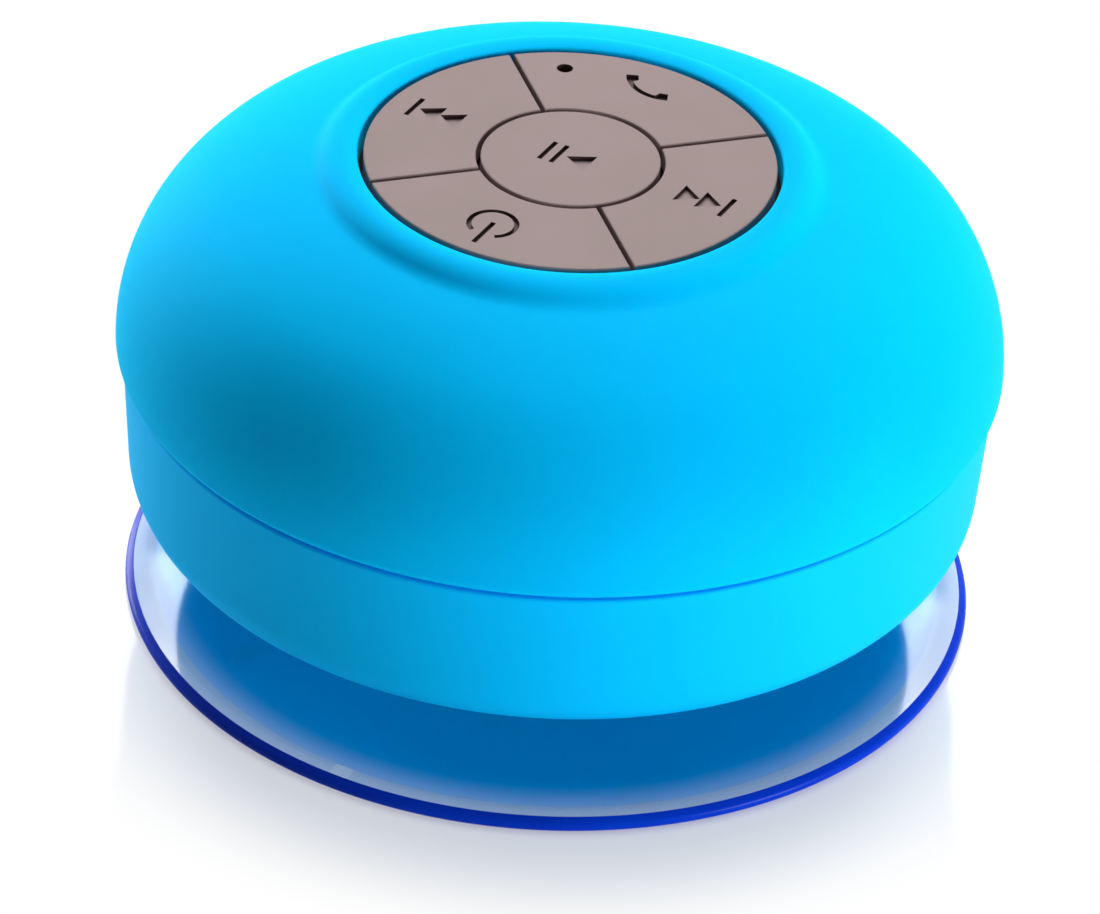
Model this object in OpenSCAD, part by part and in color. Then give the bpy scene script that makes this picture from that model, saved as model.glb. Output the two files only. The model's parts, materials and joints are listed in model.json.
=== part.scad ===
// Shower speaker: a silicone covered dome with a split keypad, carried on a clear suction cup.
// z = 0 is the plane that the cup seals on, +Z runs out through the keypad and +Y to the power key.

/* [Body] */
// Outside diameter of the silicone cover
body_d = 86; // [84:0.5:96]
// Height of the lower shell's underside above the sealing plane
base_z = 10.8; // [9.6:0.1:12]
// Height of the lower shell from its underside to the seam
base_h = 17; // [16.6:0.1:20]
// How far the lower shell stands back from the cover at the seam
seam_step = 0.7; // [0.4:0.1:1]
// How much the lower shell narrows from the seam to its bottom corner
base_taper = 0.7; // [0.2:0.1:1.2]
// Radius of the lower shell's bottom corner
corner_r = 5; // [4:0.1:6]
// Thickness of the lower shell's wall and floor
base_wall = 2; // [1.6:0.1:2.2]

/* [Dome] */
// Radius of the dome's side curve
dome_side_r = 17.8; // [17:0.1:19]
// How far inside the bead's foot the dome's top curve would level out
crown_inset = 6.4; // [5:0.1:7]
// Angle above level at which the side curve passes into the top curve
dome_blend = 61.5; // [59:0.5:64]
// Height of the straight side above the seam
side_rise = 0.75; // [0.7:0.05:1.5]
// Rounding of the cover's lower edge
cover_edge_r = 0.7; // [0.3:0.1:0.7]
// Thickness of the silicone cover
cover_t = 1.8; // [1.5:0.1:2.2]
// Thickness of the hard upper shell
shell_t = 2; // [1.6:0.1:2.2]

/* [Keypad] */
// Diameter of the keypad's opening in the cover
keypad_d = 40.2; // [38:0.1:42]
// Gap between the keys and the cover
keypad_gap = 0.35; // [0.3:0.05:0.6]
// Diameter of the centre key
play_d = 17.2; // [15:0.1:18]
// Gap between neighbouring keys
key_gap = 0.45; // [0.4:0.05:0.8]
// Thickness of a key's cap
key_t = 2; // [1.6:0.1:2.4]
// Bevel of a key's upper edges
key_bevel = 0.25; // [0.1:0.05:0.4]
// How far a key can be pressed
key_travel = 0.35; // [0.2:0.05:0.5]
// Diameter of a key's stem
stem_d = 4.8; // [4:0.1:5.4]
// Distance of the outer keys' stems from the middle
stem_ring_r = 14.2; // [13.6:0.1:15]
// Section radius of the raised bead round the keypad
bead_r = 2.9; // [2.5:0.1:3.2]
// Radius of the hollow between the bead and the dome
bead_hollow_r = 2.2; // [1.2:0.1:3]
// Height of the bead above the keys
bead_rise = 0.25; // [0.1:0.05:0.5]
// Diameter of the microphone hole in the phone key
mic_hole_d = 1.6; // [1:0.1:2]
// Thickness of the rubber key mat
mat_t = 0.6; // [0.4:0.1:0.9]
// Thickness of the deck under the mat
deck_t = 1.6; // [1.2:0.1:2]

/* [Suction cup] */
// Diameter of the cup's rim
cup_d = 83.4; // [78:0.2:88]
// Thickness of the cup's rim
cup_rim_t = 1.2; // [0.9:0.1:1.6]
// Width of the flat sealing ring under the rim
cup_seal_w = 2.6; // [2:0.1:4]
// Depth of the hollow under the cup
cup_hollow = 3.6; // [2.5:0.1:4]
// Thickness of the cup at its middle
cup_mid_t = 2.4; // [2:0.1:3]
// Diameter of the cup's collar under the body
collar_d = 21; // [19:0.5:22]
// Diameter of the cup's neck
neck_d = 13.8; // [12:0.1:14]
// Diameter of the cup's head inside the body
head_d = 17.2; // [16:0.1:18]
// Height of the cup's head
head_h = 1.6; // [1.2:0.1:2]

/* [Charging port] */
// Width of the port's window in the cover
port_w = 13; // [11:0.2:14]
// Height of the port's window in the cover
port_h = 8.6; // [8:0.2:9]
// Corner radius of the port's window
port_r = 2.2; // [1:0.1:3]
// Gap round the flap
flap_gap = 0.3; // [0.2:0.05:0.5]
// Thickness of the flap
flap_t = 1.2; // [1:0.1:1.3]

/* [Driver] */
// Outside diameter of the driver's frame
driver_d = 40.8; // [40:0.2:42]
// Diameter of the magnet
magnet_d = 25; // [22:0.5:27]
// Thickness of the magnet
magnet_t = 4; // [3:0.1:4.4]
// Bore radius of the voice coil
coil_r = 4.7; // [4.2:0.1:5]
// Diameter of the opening in the lower shell's floor
grille_d = 38.4; // [37.6:0.2:38.8]
// Diameter of one sound hole
sound_hole_d = 1.6; // [1.2:0.1:1.8]

/* [Electronics] */
// Thickness of the main board
board_t = 1.4; // [1:0.1:1.6]
// Gap between the main board and the posts round it
board_gap = 1.2; // [0.8:0.1:2]
// Length of the battery
battery_l = 34; // [28:0.5:36]
// Width of the battery
battery_w = 24; // [20:0.5:25]
// Thickness of the battery
battery_t = 5; // [3.5:0.1:5.2]
// Height of a tact switch's body
switch_h = 3.4; // [3:0.1:3.8]

/* [Hidden] */
$fn = 96;

// Colours of the materials
silicone_blue = [0.0, 0.66, 0.92];
cup_clear = [0.45, 0.62, 0.85, 0.55];
key_grey = [0.62, 0.56, 0.55];
shell_blue = [0.0, 0.58, 0.86];
plastic_dark = [0.16, 0.17, 0.2];
board_green = [0.05, 0.35, 0.2];
steel = [0.7, 0.71, 0.73];
copper = [0.78, 0.45, 0.25];

// Clearances
fit = 0.15;
seat_gap = 0.3;
running_fit = 0.08;
screw_fit = 0.05;
overlap = 0.5;

// Bead round the keypad, in plan
lip_r = keypad_d / 2;
bead_foot = 30;
bead_lean = 0.345;
bead_mid_r = lip_r + bead_lean * bead_r;
valley_r = bead_mid_r + bead_r * cos(bead_foot);

// Curves of the dome: a side curve that passes without a kink into a flatter top curve
body_r = body_d / 2;
seam_z = base_z + base_h;
side_c = [body_r - dome_side_r, seam_z + side_rise];
crown_r = valley_r - crown_inset;
dome_top_r = dome_side_r + (side_c[0] - crown_r) / cos(dome_blend);
top_c = side_c + (dome_side_r - dome_top_r) * [cos(dome_blend), sin(dome_blend)];
shell_inset = cover_t + fit;
inner_inset = shell_inset + shell_t;

// Levels of the bead and the keypad, from the dome down
bead_z = top_z(valley_r, 0) - bead_r * sin(bead_foot);
bead_c = [bead_mid_r, bead_z];
key_top_z = bead_z + bead_r - bead_rise;
key_z = key_top_z - key_t;
key_float = 0.7;
mat_z = key_z - key_float - mat_t;
deck_z = mat_z;
deck_low_z = min(deck_z - deck_t, top_c[1] + dome_top_r - inner_inset);
stem_reach = 0.5;
stem_z = deck_low_z - stem_reach;
button_rise = 1;
board_z = stem_z - button_rise - switch_h;
board_low_z = board_z - board_t;
mat_lap = 1.4;
mat_r = lip_r + mat_lap;
key_r = lip_r - keypad_gap;
play_r = play_d / 2;
key_inner_r = play_r + key_gap;
guide_gap = 0.3;
mic_r = 16.6;
mic_angle = -60;
light_angle = -45;
key_angles = [90, 0, -90, 180];

// Hollow that touches both the dome's top curve and the bead
hollow_reach = dome_top_r + bead_hollow_r;
hollow_swell = bead_r + bead_hollow_r;
bead_apart = norm(bead_c - top_c);
bead_way = (bead_c - top_c) / bead_apart;
hollow_along = (pow(hollow_reach, 2) - pow(hollow_swell, 2) + pow(bead_apart, 2)) / (2 * bead_apart);
hollow_off = sqrt(pow(hollow_reach, 2) - pow(hollow_along, 2));
hollow_mid = top_c + hollow_along * bead_way + hollow_off * [bead_way[1], -bead_way[0]];
hollow_foot_r = top_c[0] + dome_top_r * (hollow_mid[0] - top_c[0]) / hollow_reach;

// Lower shell
rim_r = body_r - seam_step;
foot_r = rim_r - base_taper;
corner_c = [foot_r - corner_r, base_z + corner_r];
taper_angle = atan(base_taper / (seam_z - corner_c[1]));
floor_z = base_z + base_wall;
rim_round = 0.8;
spigot_l = 3.6;
spigot_t = 2.2;
spigot_r = rim_r - base_wall - spigot_l * tan(taper_angle) - fit;
seal_r = 0.65;
seal_z = seam_z - spigot_l / 2;
seal_play = 0.4;
groove_d = 2 * seal_r - screw_fit;
groove_h = 2 * seal_r + seal_play;

// Housing screws and their posts
screw_head_r = 2.3;
screw_head_h = 1.8;
screw_r = 1.2;
screw_bite = 6;
post_inset = 3.1;
post_h = 7.7;
post_r = 3.8;
upper_post_r = 2.8;
counterbore_h = 3.3;
post_ring_r = corner_c[0] - post_inset;
post_top_z = floor_z + post_h;
screw_seat_z = base_z + counterbore_h;
post_angles = [45, 135, 225, 315];

// Base grille and the cup's seat in it
grille_r = grille_d / 2;
grille_t = 2.3;
grille_rise = 0.6;
grille_flange_lap = 2.8;
grille_flange_root = 1.7;
grille_flange_t = 1.2;
grille_z = floor_z + grille_rise - grille_t;
grille_top_z = grille_z + grille_t;
grille_flange_r = grille_r + grille_flange_lap;
grille_flange_in = grille_r - grille_flange_root;
flange_top_z = floor_z + grille_flange_t;
sound_rings = [0.17, 0.5, 0.83];
sound_pitch = 4.2;
cloth_t = 0.25;

// Suction cup
cup_r = cup_d / 2;
neck_r = neck_d / 2;
head_r = head_d / 2;
collar_r = collar_d / 2;
hollow_r = cup_r - cup_rim_t / 2 - cup_seal_w;
hollow_ball = (pow(hollow_r, 2) + pow(cup_hollow, 2)) / (2 * cup_hollow);
cup_top_h = cup_hollow + cup_mid_t - cup_rim_t;
cup_ball = (pow(cup_r, 2) + pow(cup_top_h, 2)) / (2 * cup_top_h);
collar_fillet = 2;
collar_z = grille_z - seat_gap;
head_z = grille_top_z + seat_gap;

// Driver, from its front seat up
driver_r = driver_d / 2;
gasket_t = 0.6;
gasket_lap = 1;
sheet_t = 0.9;
frame_skin = 0.8;
flange_w = 1.8;
knee_h = 2.6;
basket_h = 8;
edge_w = 5.8;
roll_r = 0.9;
roll_drop = 0.15;
film_t = 0.3;
cone_t = 0.4;
cone_depth = 4;
rim_w = 0.9;
coil_t = 0.3;
coil_gap = 0.2;
coil_glue = 0.05;
coil_reach = 1.5;
plate_t = 1.6;
plate_inset = 1;
magnet_gap = 2;
yoke_t = 1.6;
ear_reach = 4.2;
ear_r = 2.3;
ear_angles = [0, 90, 180, 270];
window_w = 7;
window_h = 3.4;
window_depth = 8;
cap_r = 6.4;
cap_ball = 14.4;
spider_drop = 1.6;
driver_z = flange_top_z + gasket_t;
wall_r = driver_r - flange_w;
mouth_r = driver_r - edge_w;
roll_c = [mouth_r + roll_r, driver_z + sheet_t + roll_drop];
frame_top_z = driver_z + basket_h;
cone_rim_z = driver_z + sheet_t + film_t;
cone_neck_z = cone_rim_z + cone_depth;
coil_outer_r = coil_r + coil_t;
cone_inner_r = coil_outer_r + coil_glue;
plate_z = frame_top_z;
magnet_z = plate_z + plate_t;
yoke_z = magnet_z + magnet_t;
plate_r = magnet_d / 2 - plate_inset;
ear_ring_r = driver_r + ear_reach;
spider_z = frame_top_z - spider_drop;

// Board and what is on it
board_post_r = 2.3;
board_post_inset = 3.2;
board_post_angles = [30, 150, 270];
board_screw_r = 0.8;
board_screw_bite = 3;
board_r = post_ring_r - upper_post_r - board_gap;
board_post_ring = board_r - board_post_inset;
switch_w = 6;
button_r = 1.7;
button_sunk = 0.9;
pad_t = 0.6;
pad_margin = 2.5;
battery_y = 3;
radio_l = 10;
radio_w = 8;
radio_h = 1.8;
radio_mid = (stem_ring_r + switch_w / 2) / 2;
chip_l = 6;
chip_w = 5;
chip_h = 1.2;
chip_gap = 1.5;
usb_w = 7.5;
usb_h = 2.6;
usb_l = 5.6;
tab_w = 12;
tab_gap = 0.6;
port_z = board_low_z - usb_h / 2;
usb_mouth_y = -side_r(port_z, inner_inset);
tab_y = sqrt(pow(side_r(board_z, inner_inset) - tab_gap, 2) - pow(tab_w / 2, 2));
nub_w = 9.6;
nub_h = 5;
nub_clear = 0.7;
nub_play = 0.8;
nub_end_y = usb_mouth_y - nub_play;

// Routes of the leads, each in a plane of constant y
lead_r = 0.5;
battery_lead_ys = [0, 4];
speaker_lead_ys = [-2, 2];
battery_low_z = board_low_z - pad_t - battery_t;
battery_end = [battery_l / 2, battery_low_z + battery_t / 2];
lead_out = 2;
lead_bend = 4.4;
lead_drop = 1.4;
battery_route = [
    battery_end, battery_end + [lead_out, 0], [battery_end[0] + lead_bend - lead_r, battery_end[1] + lead_r],
    [battery_end[0] + lead_bend, board_low_z - lead_drop], [battery_end[0] + lead_bend, board_low_z]
];
lead_foot = [-(driver_r + wall_r) / 2, driver_z + sheet_t];
lead_slack = 3;
lead_rise = 7;
speaker_route = [
    lead_foot, lead_foot + [0, lead_out], lead_foot + [-lead_slack, lead_rise],
    [lead_foot[0] - lead_slack, board_low_z - lead_rise],
    [lead_foot[0] - lead_out, board_low_z - lead_out], [lead_foot[0] - lead_out, board_low_z]
];

// Height of the dome's top curve at a radius, and its radius at a height, inset from the outside
function top_z(r, inset) = top_c[1] + sqrt(pow(dome_top_r - inset, 2) - pow(r - top_c[0], 2));
function top_r(z, inset) = top_c[0] + sqrt(pow(dome_top_r - inset, 2) - pow(z - top_c[1], 2));
// Radius of the dome's side curve at a height
function side_r(z, inset) = side_c[0] + sqrt(pow(dome_side_r - inset, 2) - pow(z - side_c[1], 2));
// Angle of a direction, from 0 to 360
function bearing(v) = (atan2(v[1], v[0]) + 360) % 360;
// Points of an arc round a centre
function arc(c, r, a0, a1, n) = [for (i = [0 : n]) c + r * [cos(a0 + (a1 - a0) * i / n),
                                                            sin(a0 + (a1 - a0) * i / n)]];
function reversed(list) = [for (i = [len(list) - 1 : -1 : 0]) list[i]];
function tail(list) = [for (i = [1 : len(list) - 1]) list[i]];
// The dome's section from the straight side up to a radius on the top curve
function dome_curve(inset, end_r) = concat(
    arc(side_c, dome_side_r - inset, 0, dome_blend, 20),
    tail(arc(top_c, dome_top_r - inset, dome_blend, acos((end_r - top_c[0]) / (dome_top_r - inset)), 8)));

module revolve(points) {
    rotate_extrude() polygon(points);
}

module ring(outer_r, inner_r, z, h) {
    translate([0, 0, z]) linear_extrude(h) difference() {
        circle(outer_r);
        circle(inner_r);
    }
}

module disc(r, z, h) {
    translate([0, 0, z]) cylinder(r = r, h = h);
}

module at(radius, angle) {
    rotate(angle) translate([radius, 0, 0]) children();
}

// Rectangle with true round corners
module rounded_rect(w, h, r) {
    square([w - 2 * r, h], center = true);
    square([w, h - 2 * r], center = true);
    for (x = [-1, 1], y = [-1, 1])
        translate([x * (w / 2 - r), y * (h / 2 - r)]) circle(r);
}

// Prism through the port towards -Y, from a depth outwards
module port_prism(w, h, r, from_y) {
    translate([0, from_y, port_z]) rotate([90, 0, 0])
        linear_extrude(body_r + 2 + from_y) rounded_rect(w, h, r);
}

module at_stems() {
    children();
    for (a = key_angles) at(stem_ring_r, a) children();
}

// Cover with its raised bead, lip and flat seat on the deck
module silicone_cover() {
    seat_r = top_r(deck_z, cover_t);
    section = concat(
        [[body_r - cover_t, seam_z]],
        arc([body_r - cover_edge_r, seam_z + cover_edge_r], cover_edge_r, -90, 0, 4),
        dome_curve(0, hollow_foot_r),
        tail(arc(hollow_mid, bead_hollow_r, bearing(top_c - hollow_mid), bearing(bead_c - hollow_mid), 6)),
        tail(arc(bead_c, bead_r, bearing(hollow_mid - bead_c), acos((lip_r - bead_mid_r) / bead_r), 12)),
        [[lip_r, mat_z + mat_t], [mat_r + fit, mat_z + mat_t], [mat_r + fit, deck_z]],
        reversed(dome_curve(cover_t, seat_r)));
    color(silicone_blue) difference() {
        revolve(section);
        port_prism(port_w, port_h, port_r, -body_r / 2);
    }
}

// Flap of the charging port, with the nub that closes the window
module port_flap() {
    end_r = side_c[0];
    skin = concat([[body_r - flap_t, seam_z], [body_r, seam_z]], dome_curve(0, end_r),
                  reversed(dome_curve(flap_t, end_r)));
    inside = concat([[0, seam_z], [body_r - flap_t / 2, seam_z]], dome_curve(flap_t / 2, end_r),
                    [[0, top_z(end_r, flap_t / 2)]]);
    color(silicone_blue) union() {
        intersection() {
            revolve(skin);
            port_prism(port_w - 2 * flap_gap, port_h - 2 * flap_gap, port_r - flap_gap, -body_r / 2);
        }
        intersection() {
            revolve(inside);
            port_prism(nub_w, nub_h, port_r / 2, nub_end_y);
        }
    }
}

// Hard dome with the key deck, the spigot and the posts for the screws
module upper_shell() {
    deck_r = top_r(deck_z, shell_inset);
    under_r = top_r(deck_low_z, inner_inset);
    spigot_z = seam_z - spigot_l;
    groove_r = spigot_r - groove_d;
    section = concat(
        [[spigot_r - spigot_t, spigot_z], [spigot_r, spigot_z], [spigot_r, seal_z - groove_h / 2],
         [groove_r, seal_z - groove_h / 2], [groove_r, seal_z + groove_h / 2],
         [spigot_r, seal_z + groove_h / 2], [spigot_r, seam_z], [body_r - shell_inset, seam_z]],
        dome_curve(shell_inset, deck_r),
        [[0, deck_z], [0, deck_low_z]],
        reversed(dome_curve(inner_inset, under_r)),
        [[spigot_r - spigot_t, seam_z]]);
    clip = concat([[0, post_top_z]], [[body_r - shell_inset - overlap, post_top_z]],
        dome_curve(shell_inset + overlap, deck_r), [[0, deck_z - overlap]]);
    color(plastic_dark) difference() {
        union() {
            revolve(section);
            intersection() {
                union() {
                    for (a = post_angles) at(post_ring_r, a) disc(upper_post_r, post_top_z, body_r);
                    for (a = board_post_angles) at(board_post_ring, a) disc(board_post_r, board_z, body_r);
                }
                revolve(clip);
            }
        }
        at_stems() disc(stem_d / 2 + guide_gap, deck_low_z - overlap, deck_t + 2 * overlap);
        at(mic_r, mic_angle) disc(mic_hole_d / 2, deck_low_z - overlap, deck_t + 2 * overlap);
        at(stem_ring_r, light_angle) disc(mic_hole_d / 2, deck_low_z - overlap, deck_t + 2 * overlap);
        for (a = post_angles) at(post_ring_r, a) disc(screw_r + screw_fit, post_top_z - overlap,
                                                      screw_bite + 2 * overlap);
        for (a = board_post_angles) at(board_post_ring, a)
            disc(board_screw_r + screw_fit, board_z - overlap, deck_low_z - board_z - overlap);
        port_prism(nub_w + 2 * nub_clear, nub_h + 2 * nub_clear, port_r / 2 + nub_clear, -board_r);
    }
}

// Tapered base with its floor opening, screw posts and driver bosses
module lower_shell() {
    inner_corner_r = corner_r - base_wall;
    section = concat(
        arc([rim_r - rim_round, seam_z - rim_round], rim_round, 90, -taper_angle, 6),
        arc(corner_c, corner_r, -taper_angle, -90, 12),
        [[grille_r + fit, base_z], [grille_r + fit, floor_z]],
        arc(corner_c, inner_corner_r, -90, -taper_angle, 8),
        [[rim_r - base_wall, seam_z]]);
    color(shell_blue) difference() {
        union() {
            revolve(section);
            for (a = post_angles) at(post_ring_r, a) disc(post_r, base_z + base_wall / 2,
                                                          post_top_z - base_z - base_wall / 2);
            for (a = ear_angles) at(ear_ring_r, a) disc(ear_r, base_z + base_wall / 2,
                                                        driver_z - base_z - base_wall / 2);
        }
        for (a = post_angles) at(post_ring_r, a) {
            disc(screw_head_r + fit, base_z - overlap, screw_seat_z - base_z + overlap);
            disc(screw_r + fit, base_z - overlap, post_top_z - base_z + 2 * overlap);
        }
        for (a = ear_angles) at(ear_ring_r, a)
            disc(board_screw_r + screw_fit, base_z + base_wall / 2, driver_z - base_z);
    }
}

// Perforated plate with the bore that the cup's neck turns in
module base_grille() {
    inner_r = collar_r + sound_hole_d / 2;
    outer_r = grille_flange_in - sound_hole_d / 2;
    color(shell_blue) difference() {
        union() {
            disc(grille_r, grille_z, grille_t);
            ring(grille_flange_r, grille_flange_in, floor_z, grille_flange_t);
        }
        disc(neck_r + running_fit, grille_z - overlap, grille_t + 2 * overlap);
        for (share = sound_rings) {
            hole_ring_r = inner_r + share * (outer_r - inner_r);
            count = floor(2 * PI * hole_ring_r / sound_pitch);
            for (i = [0 : count - 1]) at(hole_ring_r, 360 * i / count)
                disc(sound_hole_d / 2, grille_z - overlap, grille_t + 2 * overlap);
        }
    }
}

// Clear cup with its sealing ring, collar, neck and retained head
module suction_cup() {
    rim_c = [cup_r - cup_rim_t / 2, cup_rim_t / 2];
    top_ball_c = [0, cup_rim_t + cup_top_h - cup_ball];
    hollow_c = [0, cup_hollow - hollow_ball];
    join_r = collar_r + collar_fillet;
    join_z = top_ball_c[1] + sqrt(pow(cup_ball, 2) - pow(join_r, 2));
    section = concat(
        reversed(arc(hollow_c, hollow_ball, acos(hollow_r / hollow_ball), 90, 12)),
        arc(rim_c, cup_rim_t / 2, -90, 60, 8),
        tail(arc(top_ball_c, cup_ball, acos((cup_r - cup_rim_t / 2) / cup_ball), acos(join_r / cup_ball), 12)),
        tail(arc([join_r, join_z + collar_fillet], collar_fillet, -90, -180, 6)),
        [[collar_r, collar_z], [neck_r, collar_z], [neck_r, head_z], [head_r, head_z],
         [head_r, head_z + head_h / 2], [head_r - head_h / 2, head_z + head_h], [0, head_z + head_h]]);
    color(cup_clear) revolve(section);
}

// Ring of the four outer keys, cut into sectors by bevelled slots
module key_sector(angle) {
    section = [[key_inner_r, key_z], [key_r, key_z], [key_r, key_top_z - key_bevel],
               [key_r - key_bevel, key_top_z], [key_inner_r + key_bevel, key_top_z],
               [key_inner_r, key_top_z - key_bevel]];
    half = key_gap / 2;
    slot = [[-half, key_z - overlap], [half, key_z - overlap], [half, key_top_z - key_bevel],
            [half + key_bevel + overlap, key_top_z + overlap],
            [-half - key_bevel - overlap, key_top_z + overlap], [-half, key_top_z - key_bevel]];
    color(key_grey) union() {
        intersection() {
            difference() {
                revolve(section);
                for (side = [-45, 45]) rotate(angle + side) rotate([90, 0, 90])
                    linear_extrude(body_r) polygon(slot);
            }
            rotate(angle) translate([0, 0, key_z - overlap]) linear_extrude(key_t + 2 * overlap)
                polygon([[0, 0], [body_r, -body_r], [body_r, body_r]]);
        }
        at(stem_ring_r, angle) disc(stem_d / 2, stem_z, key_z - stem_z + key_t / 2);
    }
}

module power_key() key_sector(key_angles[0]);

module next_key() key_sector(key_angles[1]);

module phone_key() {
    color(key_grey) difference() {
        key_sector(key_angles[2]);
        at(mic_r, mic_angle) disc(mic_hole_d / 2, key_z - overlap, key_t + 2 * overlap);
    }
}

module previous_key() key_sector(key_angles[3]);

module play_key() {
    color(key_grey) union() {
        revolve([[0, key_z], [play_r, key_z], [play_r, key_top_z - key_bevel],
                 [play_r - key_bevel, key_top_z], [0, key_top_z]]);
        disc(stem_d / 2, stem_z, key_z - stem_z + key_t / 2);
    }
}

// Button of a tact switch, under a key's stem
module switch_button() {
    color(plastic_dark) disc(button_r, board_z + switch_h - button_sunk, button_rise + button_sunk);
}

module power_button() at(stem_ring_r, key_angles[0]) switch_button();

module next_button() at(stem_ring_r, key_angles[1]) switch_button();

module phone_button() at(stem_ring_r, key_angles[2]) switch_button();

module previous_button() at(stem_ring_r, key_angles[3]) switch_button();

module play_button() switch_button();

module key_mat() {
    color(plastic_dark) difference() {
        disc(mat_r, mat_z, mat_t);
        at_stems() disc(stem_d / 2 + guide_gap, mat_z - overlap, mat_t + 2 * overlap);
        at(mic_r, mic_angle) disc(mic_hole_d / 2, mat_z - overlap, mat_t + 2 * overlap);
        at(stem_ring_r, light_angle) disc(mic_hole_d / 2, mat_z - overlap, mat_t + 2 * overlap);
    }
}

module main_board() {
    color(board_green) difference() {
        translate([0, 0, board_low_z]) linear_extrude(board_t) union() {
            circle(board_r);
            translate([-tab_w / 2, -tab_y]) square([tab_w, tab_y]);
        }
        for (a = board_post_angles) at(board_post_ring, a)
            disc(board_screw_r + fit, board_low_z - overlap, board_t + 2 * overlap);
    }
}

module tact_switches() {
    well = button_sunk + 2 * key_travel;
    color(plastic_dark) at_stems() difference() {
        translate([-switch_w / 2, -switch_w / 2, board_z]) cube([switch_w, switch_w, switch_h]);
        disc(button_r + fit, board_z + switch_h - well, well + overlap);
    }
}

module radio_module() {
    color(steel) translate([radio_mid - radio_l / 2, radio_mid - radio_w / 2, board_z])
        cube([radio_l, radio_w, radio_h]);
}

module amplifier_chip() {
    edge_y = battery_y - battery_w / 2 - chip_gap;
    color(plastic_dark) translate([-stem_ring_r - chip_l / 2, edge_y - chip_w, board_low_z - chip_h])
        cube([chip_l, chip_w, chip_h]);
}

module microphone() {
    capsule_r = 2;
    capsule_h = 3.6;
    color(steel) at(mic_r, mic_angle) disc(capsule_r, board_z, capsule_h);
}

module status_light() {
    size = [1.6, 0.8, 0.7];
    color("white") at(stem_ring_r, light_angle) translate([-size[0] / 2, -size[1] / 2, board_z]) cube(size);
}

// Charging socket with its hollow and tongue
module usb_socket() {
    skin = 0.35;
    tongue = [3.6, 4.2, 0.7];
    corner = 0.8;
    color(steel) union() {
        difference() {
            translate([0, usb_mouth_y + usb_l, port_z]) rotate([90, 0, 0])
                linear_extrude(usb_l) rounded_rect(usb_w, usb_h, corner);
            translate([0, usb_mouth_y + usb_l - 1, port_z]) rotate([90, 0, 0])
                linear_extrude(usb_l) rounded_rect(usb_w - 2 * skin, usb_h - 2 * skin, corner - skin);
        }
        translate([-tongue[0] / 2, usb_mouth_y + usb_l - 1 - tongue[1], port_z - tongue[2] / 2])
            cube([tongue[0], tongue[1] + overlap, tongue[2]]);
    }
}

module battery() {
    corner = 2;
    color("silver") translate([0, battery_y, battery_low_z])
        linear_extrude(battery_t) rounded_rect(battery_l, battery_w, corner);
}

module battery_pad() {
    color("gray") translate([0, battery_y, board_low_z - pad_t]) linear_extrude(pad_t)
        square([battery_l - 2 * pad_margin, battery_w - 2 * pad_margin], center = true);
}

function unit(v) = v / norm(v);
function heading(p, i) = unit((i < len(p) - 1 ? unit(p[i + 1] - p[i]) : [0, 0])
                              + (i > 0 ? unit(p[i] - p[i - 1]) : [0, 0]));

// Tube along a route in the XZ plane, at a constant y
module lead(route, y) {
    sides = 8;
    last = len(route) - 1;
    points = [for (i = [0 : last], j = [0 : sides - 1])
        let (d = heading(route, i), a = 360 * j / sides)
        [route[i][0] - d[1] * lead_r * sin(a), y + lead_r * cos(a), route[i][1] + d[0] * lead_r * sin(a)]];
    sleeve = [for (i = [0 : last - 1], j = [0 : sides - 1])
        let (k = (j + 1) % sides, low = i * sides, up = low + sides)
        each [[low + j, up + j, up + k], [low + j, up + k, low + k]]];
    polyhedron(points, concat([[for (j = [0 : sides - 1]) j]], sleeve,
                              [[for (j = [sides - 1 : -1 : 0]) last * sides + j]]));
}

module battery_leads() {
    color("red") for (y = battery_lead_ys) lead(battery_route, y);
}

module speaker_leads() {
    color(plastic_dark) for (y = speaker_lead_ys) lead(speaker_route, y);
}

module grille_cloth() {
    color(plastic_dark) ring(grille_flange_in - fit, head_r + 2 * seat_gap, grille_top_z, cloth_t);
}

module speaker_gasket() {
    color(plastic_dark) ring(driver_r, wall_r - gasket_lap, flange_top_z, gasket_t);
}

// Pressed frame of the driver with its ears and windows
module speaker_frame() {
    ring_r = magnet_d / 2;
    knee_z = driver_z + knee_h;
    seat_r = coil_outer_r + 3 * coil_gap;
    lip = mouth_r + 2 * roll_r + coil_gap;
    skin = frame_skin;
    section = [[lip, driver_z], [driver_r, driver_z], [driver_r, driver_z + sheet_t],
               [wall_r, driver_z + sheet_t], [wall_r, knee_z], [ring_r, frame_top_z], [seat_r, frame_top_z],
               [seat_r, frame_top_z - skin], [ring_r - skin / 2, frame_top_z - skin],
               [wall_r - skin, knee_z - skin / 2], [wall_r - skin, driver_z + sheet_t], [lip, driver_z + sheet_t]];
    color(steel) difference() {
        union() {
            revolve(section);
            for (a = ear_angles) rotate(a) difference() {
                union() {
                    translate([ear_ring_r, 0, driver_z]) cylinder(r = ear_r, h = sheet_t);
                    translate([wall_r, -ear_r, driver_z]) cube([ear_ring_r - wall_r, 2 * ear_r, sheet_t]);
                }
                disc(wall_r - overlap, driver_z - overlap, sheet_t + 2 * overlap);
            }
        }
        for (a = ear_angles) at(ear_ring_r, a)
            disc(board_screw_r + fit, driver_z - overlap, sheet_t + 2 * overlap);
        for (a = ear_angles) rotate(a) translate([(wall_r + ring_r) / 2, 0, (knee_z + frame_top_z) / 2])
            cube([window_depth, window_w, window_h], center = true);
    }
}

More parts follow.
